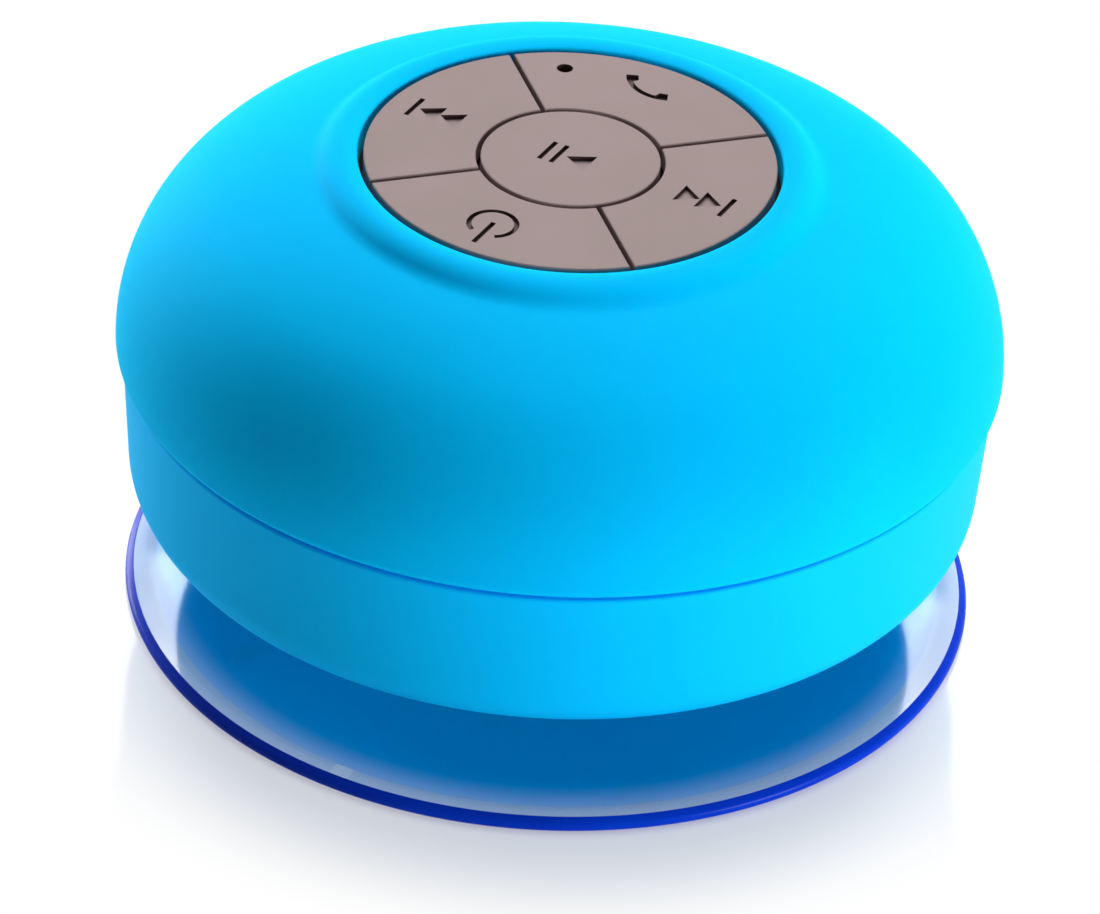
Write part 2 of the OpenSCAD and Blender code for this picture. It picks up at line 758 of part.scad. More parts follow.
// Half-roll edge between the cone and the frame
module speaker_surround() {
    foot_w = wall_r - mouth_r - 2 * roll_r - frame_skin - coil_gap;
    foot_z = driver_z + sheet_t;
    outer_foot = roll_c[0] + roll_r + foot_w;
    section = concat(
        [[mouth_r - rim_w, foot_z], [mouth_r, foot_z]],
        arc(roll_c, roll_r, 190, 350, 12),
        [[roll_c[0] + roll_r, foot_z], [outer_foot, foot_z], [outer_foot, foot_z + film_t],
         [roll_c[0] + roll_r - film_t, foot_z + film_t]],
        arc(roll_c, roll_r - film_t, 350, 190, 12),
        [[mouth_r + film_t, foot_z + film_t], [mouth_r - rim_w, foot_z + film_t]]);
    color(plastic_dark) revolve(section);
}

// Corrugated disc that centres the coil
module speaker_spider() {
    foot_w = 0.6;
    outer = magnet_d / 2 - plate_inset - coil_glue;
    wave = 0.3;
    waves = 3.25;
    steps = 26;
    span = outer - cone_inner_r;
    low = [for (i = [0 : steps]) [cone_inner_r + span * i / steps,
                                  spider_z + wave * sin(360 * waves * i / steps)]];
    seat_z = frame_top_z - frame_skin;
    color(copper) revolve(concat(low, [[outer, seat_z], [outer - foot_w, seat_z]],
        reversed([for (p = low) if (p[0] < outer - foot_w) p + [0, film_t]])));
}

module speaker_cone() {
    section = [[mouth_r - rim_w, cone_rim_z], [mouth_r, cone_rim_z], [mouth_r, cone_rim_z + cone_t],
               [mouth_r - rim_w + cone_t / 2, cone_rim_z + cone_t], [cone_inner_r, cone_neck_z + cone_t],
               [cone_inner_r, cone_neck_z]];
    color(plastic_dark) revolve(section);
}

module dust_cap() {
    slope = cone_depth / (mouth_r - rim_w - cone_inner_r);
    edge_z = cone_neck_z - (cap_r - cone_inner_r) * slope - 1.5 * film_t;
    half = asin(cap_r / cap_ball);
    centre = [0, edge_z + cap_ball * cos(half)];
    color(plastic_dark) revolve(concat(arc(centre, cap_ball, -90, -90 + half, 8),
                                       arc(centre, cap_ball - film_t, -90 + half, -90, 8)));
}

module voice_coil() {
    color(copper) ring(coil_outer_r, coil_r, cone_neck_z - film_t, magnet_z + coil_reach - cone_neck_z);
}

module top_plate() {
    color(steel) ring(plate_r, coil_outer_r + coil_gap, plate_z, plate_t);
}

module magnet() {
    color(plastic_dark) ring(magnet_d / 2, coil_r + magnet_gap, magnet_z, magnet_t);
}

module yoke() {
    color(steel) union() {
        disc(plate_r, yoke_z, yoke_t);
        disc(coil_r - coil_gap, plate_z, yoke_z - plate_z + overlap);
    }
}

module housing_seal() {
    color(plastic_dark) rotate_extrude() translate([spigot_r - groove_d + seal_r + screw_fit / 2, seal_z])
        circle(seal_r);
}

// Pan-head screw that points up from the underside of its seat
module screw(head_r, head_h, shank_r, shank_l) {
    color(steel) union() {
        translate([0, 0, -head_h]) cylinder(r = head_r, h = head_h);
        translate([0, 0, -overlap]) cylinder(r = shank_r, h = shank_l + overlap);
    }
}

module housing_screws() {
    for (a = post_angles) at(post_ring_r, a) translate([0, 0, screw_seat_z])
        screw(screw_head_r, screw_head_h, screw_r, post_top_z - screw_seat_z + screw_bite);
}

module board_screws() {
    for (a = board_post_angles) at(board_post_ring, a) translate([0, 0, board_low_z])
        screw(2 * board_screw_r, 1.5 * board_screw_r, board_screw_r, board_t + board_screw_bite);
}

module speaker_screws() {
    for (a = ear_angles) at(ear_ring_r, a) translate([0, 0, driver_z + sheet_t]) mirror([0, 0, 1])
        screw(2 * board_screw_r, 1.5 * board_screw_r, board_screw_r, sheet_t + driver_z - floor_z);
}

silicone_cover();
upper_shell();
lower_shell();
base_grille();
suction_cup();
port_flap();
power_key();
next_key();
phone_key();
previous_key();
play_key();
power_button();
next_button();
phone_button();
previous_button();
play_button();
key_mat();
main_board();
tact_switches();
radio_module();
amplifier_chip();
microphone();
status_light();
usb_socket();
battery();
battery_pad();
battery_leads();
speaker_leads();
grille_cloth();
speaker_gasket();
speaker_frame();
speaker_surround();
speaker_spider();
speaker_cone();
dust_cap();
voice_coil();
top_plate();
magnet();
yoke();
housing_seal();
housing_screws();
board_screws();
speaker_screws();
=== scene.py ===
"""Shower speaker on a clear suction cup: the looks of its pieces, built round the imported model, in metres.

The cup seals on z = 0, the keypad faces +Z and the power key lies towards +Y.
"""
import json
import math
from functools import partial

import bmesh
import bpy
from mathutils import Matrix, Vector


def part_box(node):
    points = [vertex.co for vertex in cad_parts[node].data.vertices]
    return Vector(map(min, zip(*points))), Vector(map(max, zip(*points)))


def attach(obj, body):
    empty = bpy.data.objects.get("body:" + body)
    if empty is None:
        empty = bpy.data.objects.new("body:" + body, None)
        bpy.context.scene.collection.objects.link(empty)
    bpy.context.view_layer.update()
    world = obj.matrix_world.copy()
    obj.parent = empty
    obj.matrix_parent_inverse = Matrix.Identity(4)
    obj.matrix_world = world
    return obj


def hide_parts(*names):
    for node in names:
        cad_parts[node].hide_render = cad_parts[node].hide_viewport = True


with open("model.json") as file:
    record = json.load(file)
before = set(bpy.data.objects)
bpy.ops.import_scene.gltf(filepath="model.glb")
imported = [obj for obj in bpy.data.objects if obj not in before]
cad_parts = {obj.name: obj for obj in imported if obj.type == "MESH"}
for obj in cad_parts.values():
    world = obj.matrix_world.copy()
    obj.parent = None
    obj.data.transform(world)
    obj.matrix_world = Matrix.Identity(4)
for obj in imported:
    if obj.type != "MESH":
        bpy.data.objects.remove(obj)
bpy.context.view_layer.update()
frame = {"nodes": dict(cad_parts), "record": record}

MM = 0.001

# Sizes in millimetres and angles in degrees, as in the model's source
BODY_R = 43.0
SEAM_Z = 27.8
BASE_Z = 10.8
FLOOR_Z = 12.8
COVER_T = 1.8
EDGE_R = 0.7
DOME_SIDE_R = 17.8
DOME_BLEND = 61.5
SIDE_RISE = 0.75
CROWN_INSET = 6.4
LIP_R = 20.1
BEAD_R = 2.9
BEAD_LEAN = 0.345
BEAD_FOOT = 30.0
BEAD_HOLLOW_R = 2.2
DECK_DROP = 3.3
MAT_T = 0.6
MAT_R = 21.5
RIM_R = 42.3
FOOT_R = 41.6
CORNER_R = 5.0
BASE_WALL = 2.0
KEY_R = 19.75
KEY_INNER_R = 9.05
PLAY_R = 8.6
KEY_GAP = 0.45
KEY_T = 2.0
KEY_ANGLES = {"power_key": 90.0, "next_key": 0.0, "phone_key": -90.0, "previous_key": 180.0}
SECTOR_HALF = 45.0
STEM_R = 2.4
STEM_RING_R = 14.2
STEM_L = 3.4
MIC_HOLE_R = 0.8
MIC_R = 16.6
MIC_ANGLE = -60.0
CUP_R = 41.7
CUP_RIM_T = 1.2
CUP_SEAL_W = 2.6
CUP_HOLLOW = 3.6
CUP_MID_T = 2.4
COLLAR_R = 10.5
COLLAR_FILLET = 2.0
NECK_R = 6.9
HEAD_R = 8.6
HEAD_H = 1.6
SEAT_GAP = 0.3
RUNNING_FIT = 0.08
FIT = 0.15
GRILLE_R = 19.2
GRILLE_T = 2.3
GRILLE_RISE = 0.6
GRILLE_FLANGE_R = 22.0
GRILLE_FLANGE_IN = 17.5
GRILLE_FLANGE_T = 1.2
SOUND_HOLE_D = 1.6
SOUND_PITCH = 4.2
SOUND_RING_R = 12.218
SOUND_RING_STEP = 1.782
SOUND_RINGS = 3
POST_RING_R = 33.5
POST_ANGLES = (45, 135, 225, 315)
SCREW_HEAD_R = 2.3
SCREW_HEAD_H = 1.8
SCREW_R = 1.2
SCREW_L = 12.4
COUNTERBORE_H = 3.3
PORT_W = 13.0
PORT_H = 8.6
PORT_R = 2.2
PORT_Z = 36.481

# Sizes in millimetres that only the looks have
LIP_BACK = 0.2
LIP_ROUND = 0.4
BEAD_OUT = 0.5
KEY_ROUND = 0.2
SEAM_GROOVE_D = 0.9
SEAM_GROOVE_H = 0.6
SEAM_ROUND = 0.3
MOUTH_ROUND = 0.3
PLATE_ROUND = 0.3
PLATE_INNER_ROUND = 0.2
CUP_EDGE_W = 0.8
COLLAR_ROUND = 0.4
HEAD_ROUND = 0.3
SCREW_EDGE_R = 0.7
SCREW_TIP_L = 1.2
CROSS_R = 1.5
CROSS_HALF_W = 0.32
CROSS_TAPER = 0.5
CROSS_FLOOR = 0.6

# How far a cutter or a joined stem runs past the face that it meets, and the drill of the sound holes
OVERSHOOT = 1.0
DRILL_L = 10.0
DRILL_SIDES = 24

# Signs on the keys, in millimetres and degrees; a place is a radius and an angle on the keypad
SIGN_DEPTH = 0.45
SIGN_STROKE = 0.5
SIGN_HALF_H = 1.75
POWER_PLACE = (14.4, 87.6)
POWER_RING_R = 2.5
POWER_OPEN = 32
POWER_BAR = (-0.2, 3.8)
NEXT_PLACE = (14.6, -0.5)
PREVIOUS_PLACE = (14.2, 180.0)
SKIP_BAR_X = 2.5
SKIP_ARROWS_X = (2.55, 0.3)
SKIP_ARROW_L = 2.2
PLAY_BARS_X = (1.25, 2.5)
PLAY_ARROW_X = -2.1
PLAY_ARROW_L = 2.55
ARROW_HALF_W = 1.5
PHONE_PLACE = (14.3, -88.6)
PHONE_TURN = -22
HANDSET_R = 4.3
HANDSET_HALF = 45
HANDSET_GRIP_T = 0.55
HANDSET_END_T = 0.65
HANDSET_END_ANGLE = 25
HANDSET_END_RAMP = 5

# Camera as fitted to the photograph; its azimuth starts at the power key's side, seen from above
LENS = 219.0
SENSOR_W = 36.0
CAMERA_DISTANCE = 0.6643
CAMERA_AZIMUTH = 26.3
CAMERA_ELEVATION = 35.02
CAMERA_PITCH = 33.98
CAMERA_YAW = 0.034
CAMERA_ROLL = 3.31

# Soft lights: name, metres to the right, front and up as the camera sees it, width in metres, watts
LAMPS = (
    ("side_softbox", (0.61, 0.40, 0.09), 0.28, 6.1),
    ("left_softbox", (-0.50, -0.54, 0.08), 0.3, 4.2),
    ("top_softbox", (0.0, -0.50, 0.69), 0.65, 9.6),
)
LAMP_AIM = Vector((0, 0, 0.03))

# Spacing of a wave texture's bands at scale 1
WAVE_PERIOD = 2 * math.pi / 20

# Places that follow from the sizes
GRILLE_Z = FLOOR_Z + GRILLE_RISE - GRILLE_T
SIDE_C = (BODY_R - DOME_SIDE_R, SEAM_Z + SIDE_RISE)
BEAD_MID_R = LIP_R + BEAD_LEAN * BEAD_R
VALLEY_R = BEAD_MID_R + BEAD_R * math.cos(math.radians(BEAD_FOOT))
DOME_TOP_R = DOME_SIDE_R + (SIDE_C[0] - VALLEY_R + CROWN_INSET) / math.cos(math.radians(DOME_BLEND))
TOP_C = (SIDE_C[0] + (DOME_SIDE_R - DOME_TOP_R) * math.cos(math.radians(DOME_BLEND)),
         SIDE_C[1] + (DOME_SIDE_R - DOME_TOP_R) * math.sin(math.radians(DOME_BLEND)))
VALLEY_Z = TOP_C[1] + math.sqrt(DOME_TOP_R ** 2 - (VALLEY_R - TOP_C[0]) ** 2)
BEAD_C = (BEAD_MID_R + BEAD_OUT, VALLEY_Z - BEAD_R * math.sin(math.radians(BEAD_FOOT)))
KEY_TOP_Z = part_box("play_key")[1].z / MM
KEY_Z = KEY_TOP_Z - KEY_T
DECK_Z = KEY_TOP_Z - DECK_DROP


# Camera and light

def toward(right, front, up):
    """A place in metres, measured from the object's foot as the camera sees it."""
    across, along = math.cos(math.radians(CAMERA_AZIMUTH)), math.sin(math.radians(CAMERA_AZIMUTH))
    return Vector((-across * right - along * front, across * front - along * right, up))


def add_camera():
    """A long lens from above the power key's side, with the small tilt of the photograph."""
    lens = bpy.data.cameras.new("camera")
    lens.lens = LENS
    lens.sensor_width = SENSOR_W
    lens.clip_start = 0.01
    lens.clip_end = 20.0
    camera = bpy.data.objects.new("camera", lens)
    bpy.context.scene.collection.objects.link(camera)
    angles = (CAMERA_ELEVATION, CAMERA_PITCH, CAMERA_YAW, CAMERA_ROLL)
    elevation, pitch, yaw, roll = (math.radians(a) for a in angles)
    place = toward(0, CAMERA_DISTANCE * math.cos(elevation), CAMERA_DISTANCE * math.sin(elevation))
    ahead = toward(-math.sin(yaw) * math.cos(pitch), -math.cos(yaw) * math.cos(pitch), -math.sin(pitch))
    side = ahead.cross(Vector((0, 0, 1))).normalized()
    over = side.cross(ahead)
    turn = Matrix((side, over, -ahead)).transposed().to_4x4()
    camera.matrix_world = Matrix.Translation(place) @ turn @ Matrix.Rotation(roll, 4, "Z")
    bpy.context.scene.camera = camera


def add_lamps():
    """White square lights that face the object."""
    for name, spot, width, watts in LAMPS:
        lamp = bpy.data.lights.new(name, "AREA")
        lamp.size = width
        lamp.energy = watts
        holder = bpy.data.objects.new(name, lamp)
        bpy.context.scene.collection.objects.link(holder)
        place = toward(*spot)
        aim = (LAMP_AIM - place).to_track_quat("-Z", "Y").to_matrix().to_4x4()
        holder.matrix_world = Matrix.Translation(place) @ aim


# Node helpers

def linear(code):
    """The linear colour of an sRGB hex value."""
    parts = [int(code[i:i + 2], 16) / 255 for i in (1, 3, 5)]
    return [p / 12.92 if p <= 0.04045 else ((p + 0.055) / 1.055) ** 2.4 for p in parts] + [1.0]


def add_node(tree, kind, inputs=None, stops=(), **settings):
    """Adds a node with its settings and links.

    An input takes a value, or the output that it is linked to. Stops are positions and hex colours of a ramp.
    """
    node = tree.nodes.new(kind)
    for key, value in settings.items():
        setattr(node, key, value)
    for key, value in (inputs or {}).items():
        if isinstance(value, bpy.types.NodeSocket):
            tree.links.new(value, node.inputs[key])
        else:
            node.inputs[key].default_value = value
    for i, (position, code) in enumerate(stops):
        node.color_ramp.elements[i].position = position
        node.color_ramp.elements[i].color = linear(code)
    return node


def new_material(name):
    """An empty material, its node tree, and the object's own coordinates in metres."""
    material = bpy.data.materials.new(name)
    material.use_nodes = True
    tree = material.node_tree
    tree.nodes.clear()
    place = add_node(tree, "ShaderNodeTexCoord").outputs["Object"]
    return material, tree, place


def shade(tree, tone, stops, gloss, roughness, values):
    """A surface whose colour follows the pattern tone, and its roughness the pattern gloss."""
    colour = add_node(tree, "ShaderNodeValToRGB", {"Fac": tone}, stops)
    low, high = roughness
    rough = add_node(tree, "ShaderNodeMapRange", {"Value": gloss, "To Min": low, "To Max": high})
    given = {"Base Color": colour.outputs["Color"], "Roughness": rough.outputs["Result"]}
    return add_node(tree, "ShaderNodeBsdfPrincipled", given | values).outputs["BSDF"]


def moulded(name, low, high, roughness, grain_mm, height_mm, values):
    """A moulded or cast surface: clouds of slightly different colour some 14 mm wide, and a fine even grain.

    A mould's grain is about 0.1 mm; most are drawn at 0.25 to 0.4 mm, so that they show.
    """
    material, tree, place = new_material(name)
    clouds = add_node(tree, "ShaderNodeTexNoise", {"Vector": place, "Scale": 1 / (14 * MM), "Detail": 3.0})
    grain = add_node(tree, "ShaderNodeTexNoise", {
        "Vector": place, "Scale": 1 / (grain_mm * MM), "Detail": 2.0}).outputs["Fac"]
    relief = add_node(tree, "ShaderNodeBump", {"Height": grain, "Distance": height_mm * MM, "Strength": 1.0})
    surface = shade(tree, clouds.outputs["Fac"], ((0.3, low), (0.7, high)),
                    grain, (roughness - 0.06, roughness + 0.06),
                    {"Normal": relief.outputs["Normal"]} | values)
    add_node(tree, "ShaderNodeOutputMaterial", {"Surface": surface})
    return material


# Materials

def silicone_rubber():
    """Liquid silicone rubber from a blasted mould: soft and matt, with hardly a highlight, and light
    runs a millimetre or so through it. Its colour drifts a little, over some 18 mm.

    The blasting is about 0.1 mm; it is drawn at 0.3 mm, so that it shows.
    """
    material, tree, place = new_material("silicone_rubber")
    clouds = add_node(tree, "ShaderNodeTexNoise", {"Vector": place, "Scale": 1 / (18 * MM), "Detail": 2.0})
    grain = add_node(tree, "ShaderNodeTexNoise", {
        "Vector": place, "Scale": 1 / (0.3 * MM), "Detail": 1.0}).outputs["Fac"]
    relief = add_node(tree, "ShaderNodeBump", {"Height": grain, "Distance": 0.012 * MM, "Strength": 0.6})
    surface = shade(tree, clouds.outputs["Fac"], ((0.3, "#00BBFB"), (0.7, "#00BFFF")), grain, (0.62, 0.76), {
        "Normal": relief.outputs["Normal"],
        "IOR": 1.41,
        "Specular IOR Level": 0.02,
        "Sheen Weight": 0.2,
        "Sheen Roughness": 0.4,
        "Sheen Tint": linear("#30E8FF"),
        "Subsurface Weight": 0.25,
        "Subsurface Radius": (0.2, 0.7, 1.0),
        "Subsurface Scale": 1.5 * MM,
    })
    add_node(tree, "ShaderNodeOutputMaterial", {"Surface": surface})
    return material


def clear_vinyl():
    """Soft clear PVC with a blue tint, glossy from its mould, with faint waves some 9 mm long.

    It is deep blue under the body, out to 36 mm, and pale from there to the edge at 41.5 mm out: the deep
    blue is painted shade and a painted reflection of the body that stands over the cup, on top of the PVC's
    own light blue tint.
    """
    material, tree, place = new_material("clear_vinyl")
    level = add_node(tree, "ShaderNodeVectorMath", {0: place, 1: (1, 1, 0)}, operation="MULTIPLY")
    radius = add_node(tree, "ShaderNodeVectorMath", {0: level.outputs["Vector"]}, operation="LENGTH")
    # Painted shade: the deep blue under the body stands for the body's shade and its reflection in the cup
    painted_body_shade = add_node(tree, "ShaderNodeMapRange", {
        "Value": radius.outputs["Value"], "From Min": 36 * MM, "From Max": 41.5 * MM,
    }, interpolation_type="SMOOTHSTEP")
    waves = add_node(tree, "ShaderNodeTexNoise", {
        "Vector": place, "Scale": 1 / (9 * MM), "Detail": 1.0}).outputs["Fac"]
    relief = add_node(tree, "ShaderNodeBump", {"Height": waves, "Distance": 0.03 * MM, "Strength": 0.5})
    tint = ((0.0, "#009AD6"), (1.0, "#C4DCFF"))
    surface = shade(tree, painted_body_shade.outputs["Result"], tint, waves, (0.06, 0.14), {
        "Normal": relief.outputs["Normal"],
        "IOR": 1.53,
        "Specular IOR Level": 1.0,
        "Transmission Weight": 1.0,
    })
    add_node(tree, "ShaderNodeOutputMaterial", {"Surface": surface})
    return material


def vinyl_edge():
    """The cup's thin edge, where light that has run through the blue PVC comes out: deep and even blue,
    with a drift over some 12 mm.
    """
    material, tree, place = new_material("vinyl_edge")
    waves = add_node(tree, "ShaderNodeTexNoise", {
        "Vector": place, "Scale": 1 / (12 * MM), "Detail": 1.0}).outputs["Fac"]
    surface = shade(tree, waves, ((0.3, "#003CCC"), (0.7, "#0034BE")), waves, (0.22, 0.32), {
        "IOR": 1.53,
        "Specular IOR Level": 0.05,
    })
    add_node(tree, "ShaderNodeOutputMaterial", {"Surface": surface})
    return material


def cloth_weave():
    """Acoustic cloth of black polyester in a plain weave, dull and open, with painted shade in the gaps
    between the threads.

    The real one has a thread each 0.25 mm; they are drawn 0.45 mm apart both ways, so that they show.
    """
    material, tree, place = new_material("polyester_cloth")
    scale = WAVE_PERIOD / (0.45 * MM)
    across = add_node(tree, "ShaderNodeTexWave", {"Vector": place, "Scale": scale}, bands_direction="X")
    along = add_node(tree, "ShaderNodeTexWave", {"Vector": place, "Scale": scale}, bands_direction="Y")
    thread = add_node(tree, "ShaderNodeMath", {
        0: across.outputs["Fac"], 1: along.outputs["Fac"]}, operation="MAXIMUM").outputs["Value"]
    relief = add_node(tree, "ShaderNodeBump", {"Height": thread, "Distance": 0.1 * MM})
    # Painted shade: darker between the threads, lighter on them
    surface = shade(tree, thread, ((0.3, "#0B0C0E"), (0.7, "#26282C")), thread, (0.95, 0.75), {
        "Normal": relief.outputs["Normal"],
        "Sheen Weight": 0.2,
    })
    add_node(tree, "ShaderNodeOutputMaterial", {"Surface": surface})
    return material


def wound_wire():
    """Enamelled copper wire, wound in even turns: fine ribs round the coil, with a painted highlight on each
    rib and painted shade between them.

    The wire is 0.12 mm thick; the turns are drawn 0.3 mm apart, so that they show.
    """
    material, tree, place = new_material("enamelled_copper")
    turns = add_node(tree, "ShaderNodeTexWave", {
        "Vector": place, "Scale": WAVE_PERIOD / (0.3 * MM)}, bands_direction="Z").outputs["Fac"]
    relief = add_node(tree, "ShaderNodeBump", {"Height": turns, "Distance": 0.05 * MM})
    # Painted highlight on the crest of each turn, and painted shade in the grooves between them
    surface = shade(tree, turns, ((0.3, "#6E3014"), (0.7, "#D98A52")), turns, (0.4, 0.24), {
        "Normal": relief.outputs["Normal"],
        "Metallic": 1.0,
    })
    add_node(tree, "ShaderNodeOutputMaterial", {"Surface": surface})
    return material


def printed_board():
    """Glass-fibre board under green solder mask: bundles of copper tracks show as lighter lines under a
    clear gloss, between bare fields some 8 mm wide.

    Real tracks are about 0.4 mm apart; they are drawn 1 mm apart, so that they show.
    """
    material, tree, place = new_material("solder_mask_board")
    fields = add_node(tree, "ShaderNodeTexVoronoi", {
        "Vector": place, "Scale": 1 / (8 * MM)}, distance="CHEBYCHEV")
    chance = add_node(tree, "ShaderNodeSeparateColor", {"Color": fields.outputs["Color"]}).outputs
    scale = WAVE_PERIOD / (1.0 * MM)
    across = add_node(tree, "ShaderNodeTexWave", {"Vector": place, "Scale": scale}, bands_direction="X")
    along = add_node(tree, "ShaderNodeTexWave", {"Vector": place, "Scale": scale}, bands_direction="Y")
    turned = add_node(tree, "ShaderNodeMath", {0: chance["Red"], 1: 0.5}, operation="GREATER_THAN")
    used = add_node(tree, "ShaderNodeMath", {0: chance["Green"], 1: 0.4}, operation="GREATER_THAN")
    lines = add_node(tree, "ShaderNodeMapRange", {
        "Value": turned.outputs["Value"], "To Min": along.outputs["Fac"], "To Max": across.outputs["Fac"]})
    tracks = add_node(tree, "ShaderNodeMath", {
        0: lines.outputs["Result"], 1: used.outputs["Value"]}, operation="MULTIPLY").outputs["Value"]
    relief = add_node(tree, "ShaderNodeBump", {"Height": tracks, "Distance": 0.03 * MM})
    surface = shade(tree, tracks, ((0.6, "#0C4A2A"), (0.75, "#2A7A48")), tracks, (0.3, 0.38), {
        "Normal": relief.outputs["Normal"],
        "IOR": 1.55,
    })
    add_node(tree, "ShaderNodeOutputMaterial", {"Surface": surface})
    return material


def pouch_foil():
    """Aluminium laminate of a pouch battery: dull silver, with soft creases some 5 mm apart, painted lighter
    on their ridges and darker in their hollows as light and shade.
    """
    material, tree, place = new_material("pouch_foil")
    creases = add_node(tree, "ShaderNodeTexVoronoi", {
        "Vector": place, "Scale": 1 / (5 * MM)}, feature="SMOOTH_F1").outputs["Distance"]
    relief = add_node(tree, "ShaderNodeBump", {"Height": creases, "Distance": 0.25 * MM, "Strength": 0.5})
    # Painted light and shade: lighter on the raised ridges, darker in the hollows
    surface = shade(tree, creases, ((0.3, "#A9ADB3"), (0.7, "#D4D7DA")), creases, (0.28, 0.44), {
        "Normal": relief.outputs["Normal"],
        "Metallic": 1.0,
    })
    add_node(tree, "ShaderNodeOutputMaterial", {"Surface": surface})
    return material


def turned_metal(name, low, high, roughness):
    """Pressed or turned metal with a plated skin: fine rings round the axis, and faint stains some 3 mm wide.

    The marks of the tool are about 0.1 mm apart; they are drawn at 0.5 mm, so that they show.
    """
    material, tree, place = new_material(name)
    rings = add_node(tree, "ShaderNodeTexWave", {
        "Vector": place, "Scale": WAVE_PERIOD / (0.5 * MM), "Distortion": 1.5, "Detail": 2.0,
    }, wave_type="RINGS", rings_direction="Z")
    stains = add_node(tree, "ShaderNodeTexNoise", {
        "Vector": place, "Scale": 1 / (3 * MM), "Detail": 4.0}).outputs["Fac"]
    relief = add_node(tree, "ShaderNodeBump", {"Height": rings.outputs["Fac"], "Distance": 0.01 * MM})
    surface = shade(tree, stains, ((0.3, low), (0.7, high)), stains, (roughness - 0.08, roughness + 0.12), {
        "Normal": relief.outputs["Normal"],
        "Metallic": 1.0,
    })
    add_node(tree, "ShaderNodeOutputMaterial", {"Surface": surface})
    return material


def light_cap():
    """Clear epoxy over a white light chip: pale and glossy, with milky clouds of 0.4 mm."""
    material, tree, place = new_material("epoxy_light")
    milk = add_node(tree, "ShaderNodeTexNoise", {"Vector": place, "Scale": 1 / (0.4 * MM)}).outputs["Fac"]
    surface = shade(tree, milk, ((0.3, "#E9E4C8"), (0.7, "#F6F6F2")), milk, (0.12, 0.25), {
        "Transmission Weight": 0.3,
        "IOR": 1.5,
    })
    add_node(tree, "ShaderNodeOutputMaterial", {"Surface": surface})
    return material


def make_materials():
    """One material for each finish of the record, by its slot, and the two that only the looks need."""
    return {
        "silicone_blue": silicone_rubber(),
        # ABS of the base, moulded in the cover's colour with a fine spark-eroded grain: matt and even
        "shell_blue": moulded("blue_abs", "#00BBFB", "#00BFFF", 0.62, 0.3, 0.006,
                              {"IOR": 1.5, "Specular IOR Level": 0.03}),
        "cup_clear": clear_vinyl(),
        "cup_edge": vinyl_edge(),
        # Satin paint on the keys' ABS: a warm grey with a soft grain
        "key_grey": moulded("satin_key_paint", "#8D7D7A", "#938280", 0.56, 0.35, 0.01,
                            {"IOR": 1.48, "Specular IOR Level": 0.1}),
        # Painted shade in the sunk signs: a dull dark on their walls and all through their narrow strokes
        "sign_painted_shade": moulded("sign_painted_shade", "#3A2B29", "#4A3835", 0.6, 0.3, 0.01,
                            {"Specular IOR Level": 0.2}),
        # Black ABS of the hidden shell, from a grained mould: half matt
        "shell_dark": moulded("black_abs", "#1C1E22", "#26282D", 0.5, 0.4, 0.015, {"IOR": 1.5}),
        # Nylon of the switches and chips: black, with a soft highlight
        "switch_black": moulded("black_nylon", "#141417", "#1E1E22", 0.45, 0.25, 0.01, {"IOR": 1.53}),
        # Dark silicone rubber of the key mat and the seal: dull
        "mat_rubber": moulded("dark_rubber", "#171416", "#221D1F", 0.8, 0.3, 0.02,
                              {"Specular IOR Level": 0.2}),
        "board_green": printed_board(),
        "bare_steel": turned_metal("zinc_plated_steel", "#9EA2A6", "#C4C7C9", 0.32),
        "light_white": light_cap(),
        "battery_foil": pouch_foil(),
        # Open-cell foam with cells of about 0.6 mm: black and rough
        "foam_black": moulded("black_foam", "#0E0E10", "#2A2A2D", 0.95, 0.6, 0.25,
                              {"Specular IOR Level": 0.1}),
        # Soft PVC insulation of the leads, drawn out smooth: a little glossy, with waves of 0.8 mm
        "lead_red": moulded("red_insulation", "#A8161B", "#C2242A", 0.35, 0.8, 0.01, {"IOR": 1.53}),
        # The same in black, which the driver's soft edge takes too
        "lead_black": moulded("black_insulation", "#121214", "#1D1D20", 0.35, 0.8, 0.01, {"IOR": 1.53}),
        "cloth_black": cloth_weave(),
        # Pressed polypropylene film of the cone and its cap: a soft gloss, with waves of 1.2 mm
        "cone_film": moulded("black_polypropylene", "#151619", "#222429", 0.42, 1.2, 0.02, {"IOR": 1.49}),
        "coil_copper": wound_wire(),
        # Sintered ferrite: dark grey and slightly gritty
        "magnet_dark": moulded("ferrite", "#2B2B2D", "#3C3B3D", 0.7, 0.3, 0.03, {}),
    }


# Shapes

def polar(radius, angle):
    """The point at a radius and an angle in degrees."""
    return radius * math.cos(math.radians(angle)), radius * math.sin(math.radians(angle))


def arc(centre, radius, start, end, steps):
    """Points of an arc, angles in degrees."""
    angles = [math.radians(start + (end - start) * i / steps) for i in range(steps + 1)]
    return [(centre[0] + radius * math.cos(a), centre[1] + radius * math.sin(a)) for a in angles]


def circle(centre, radius, steps):
    """Points of a closed circle."""
    return arc(centre, radius, 0, 360, steps)[:-1]


def bearing(centre, point):
    """Angle in degrees from a centre to a point."""
    return math.degrees(math.atan2(point[1] - centre[1], point[0] - centre[0]))


def soften(corners, steps=5):
    """An outline of (x, y, rounding) corners, closed, with each corner rounded."""
    points = []
    for i, (x, y, rounding) in enumerate(corners):
        here = Vector((x, y))
        if rounding == 0:
            points.append((x, y))
            continue
        back = (Vector(corners[i - 1][:2]) - here).normalized()
        onward = (Vector(corners[(i + 1) % len(corners)][:2]) - here).normalized()
        half = back.angle(onward) / 2
        centre = here + (back + onward).normalized() * rounding / math.sin(half)
        first = bearing(centre, here + back * rounding / math.tan(half))
        last = bearing(centre, here + onward * rounding / math.tan(half))
        sweep = (last - first + 180) % 360 - 180
        points += arc(centre, rounding, first, first + sweep, steps)
    return points


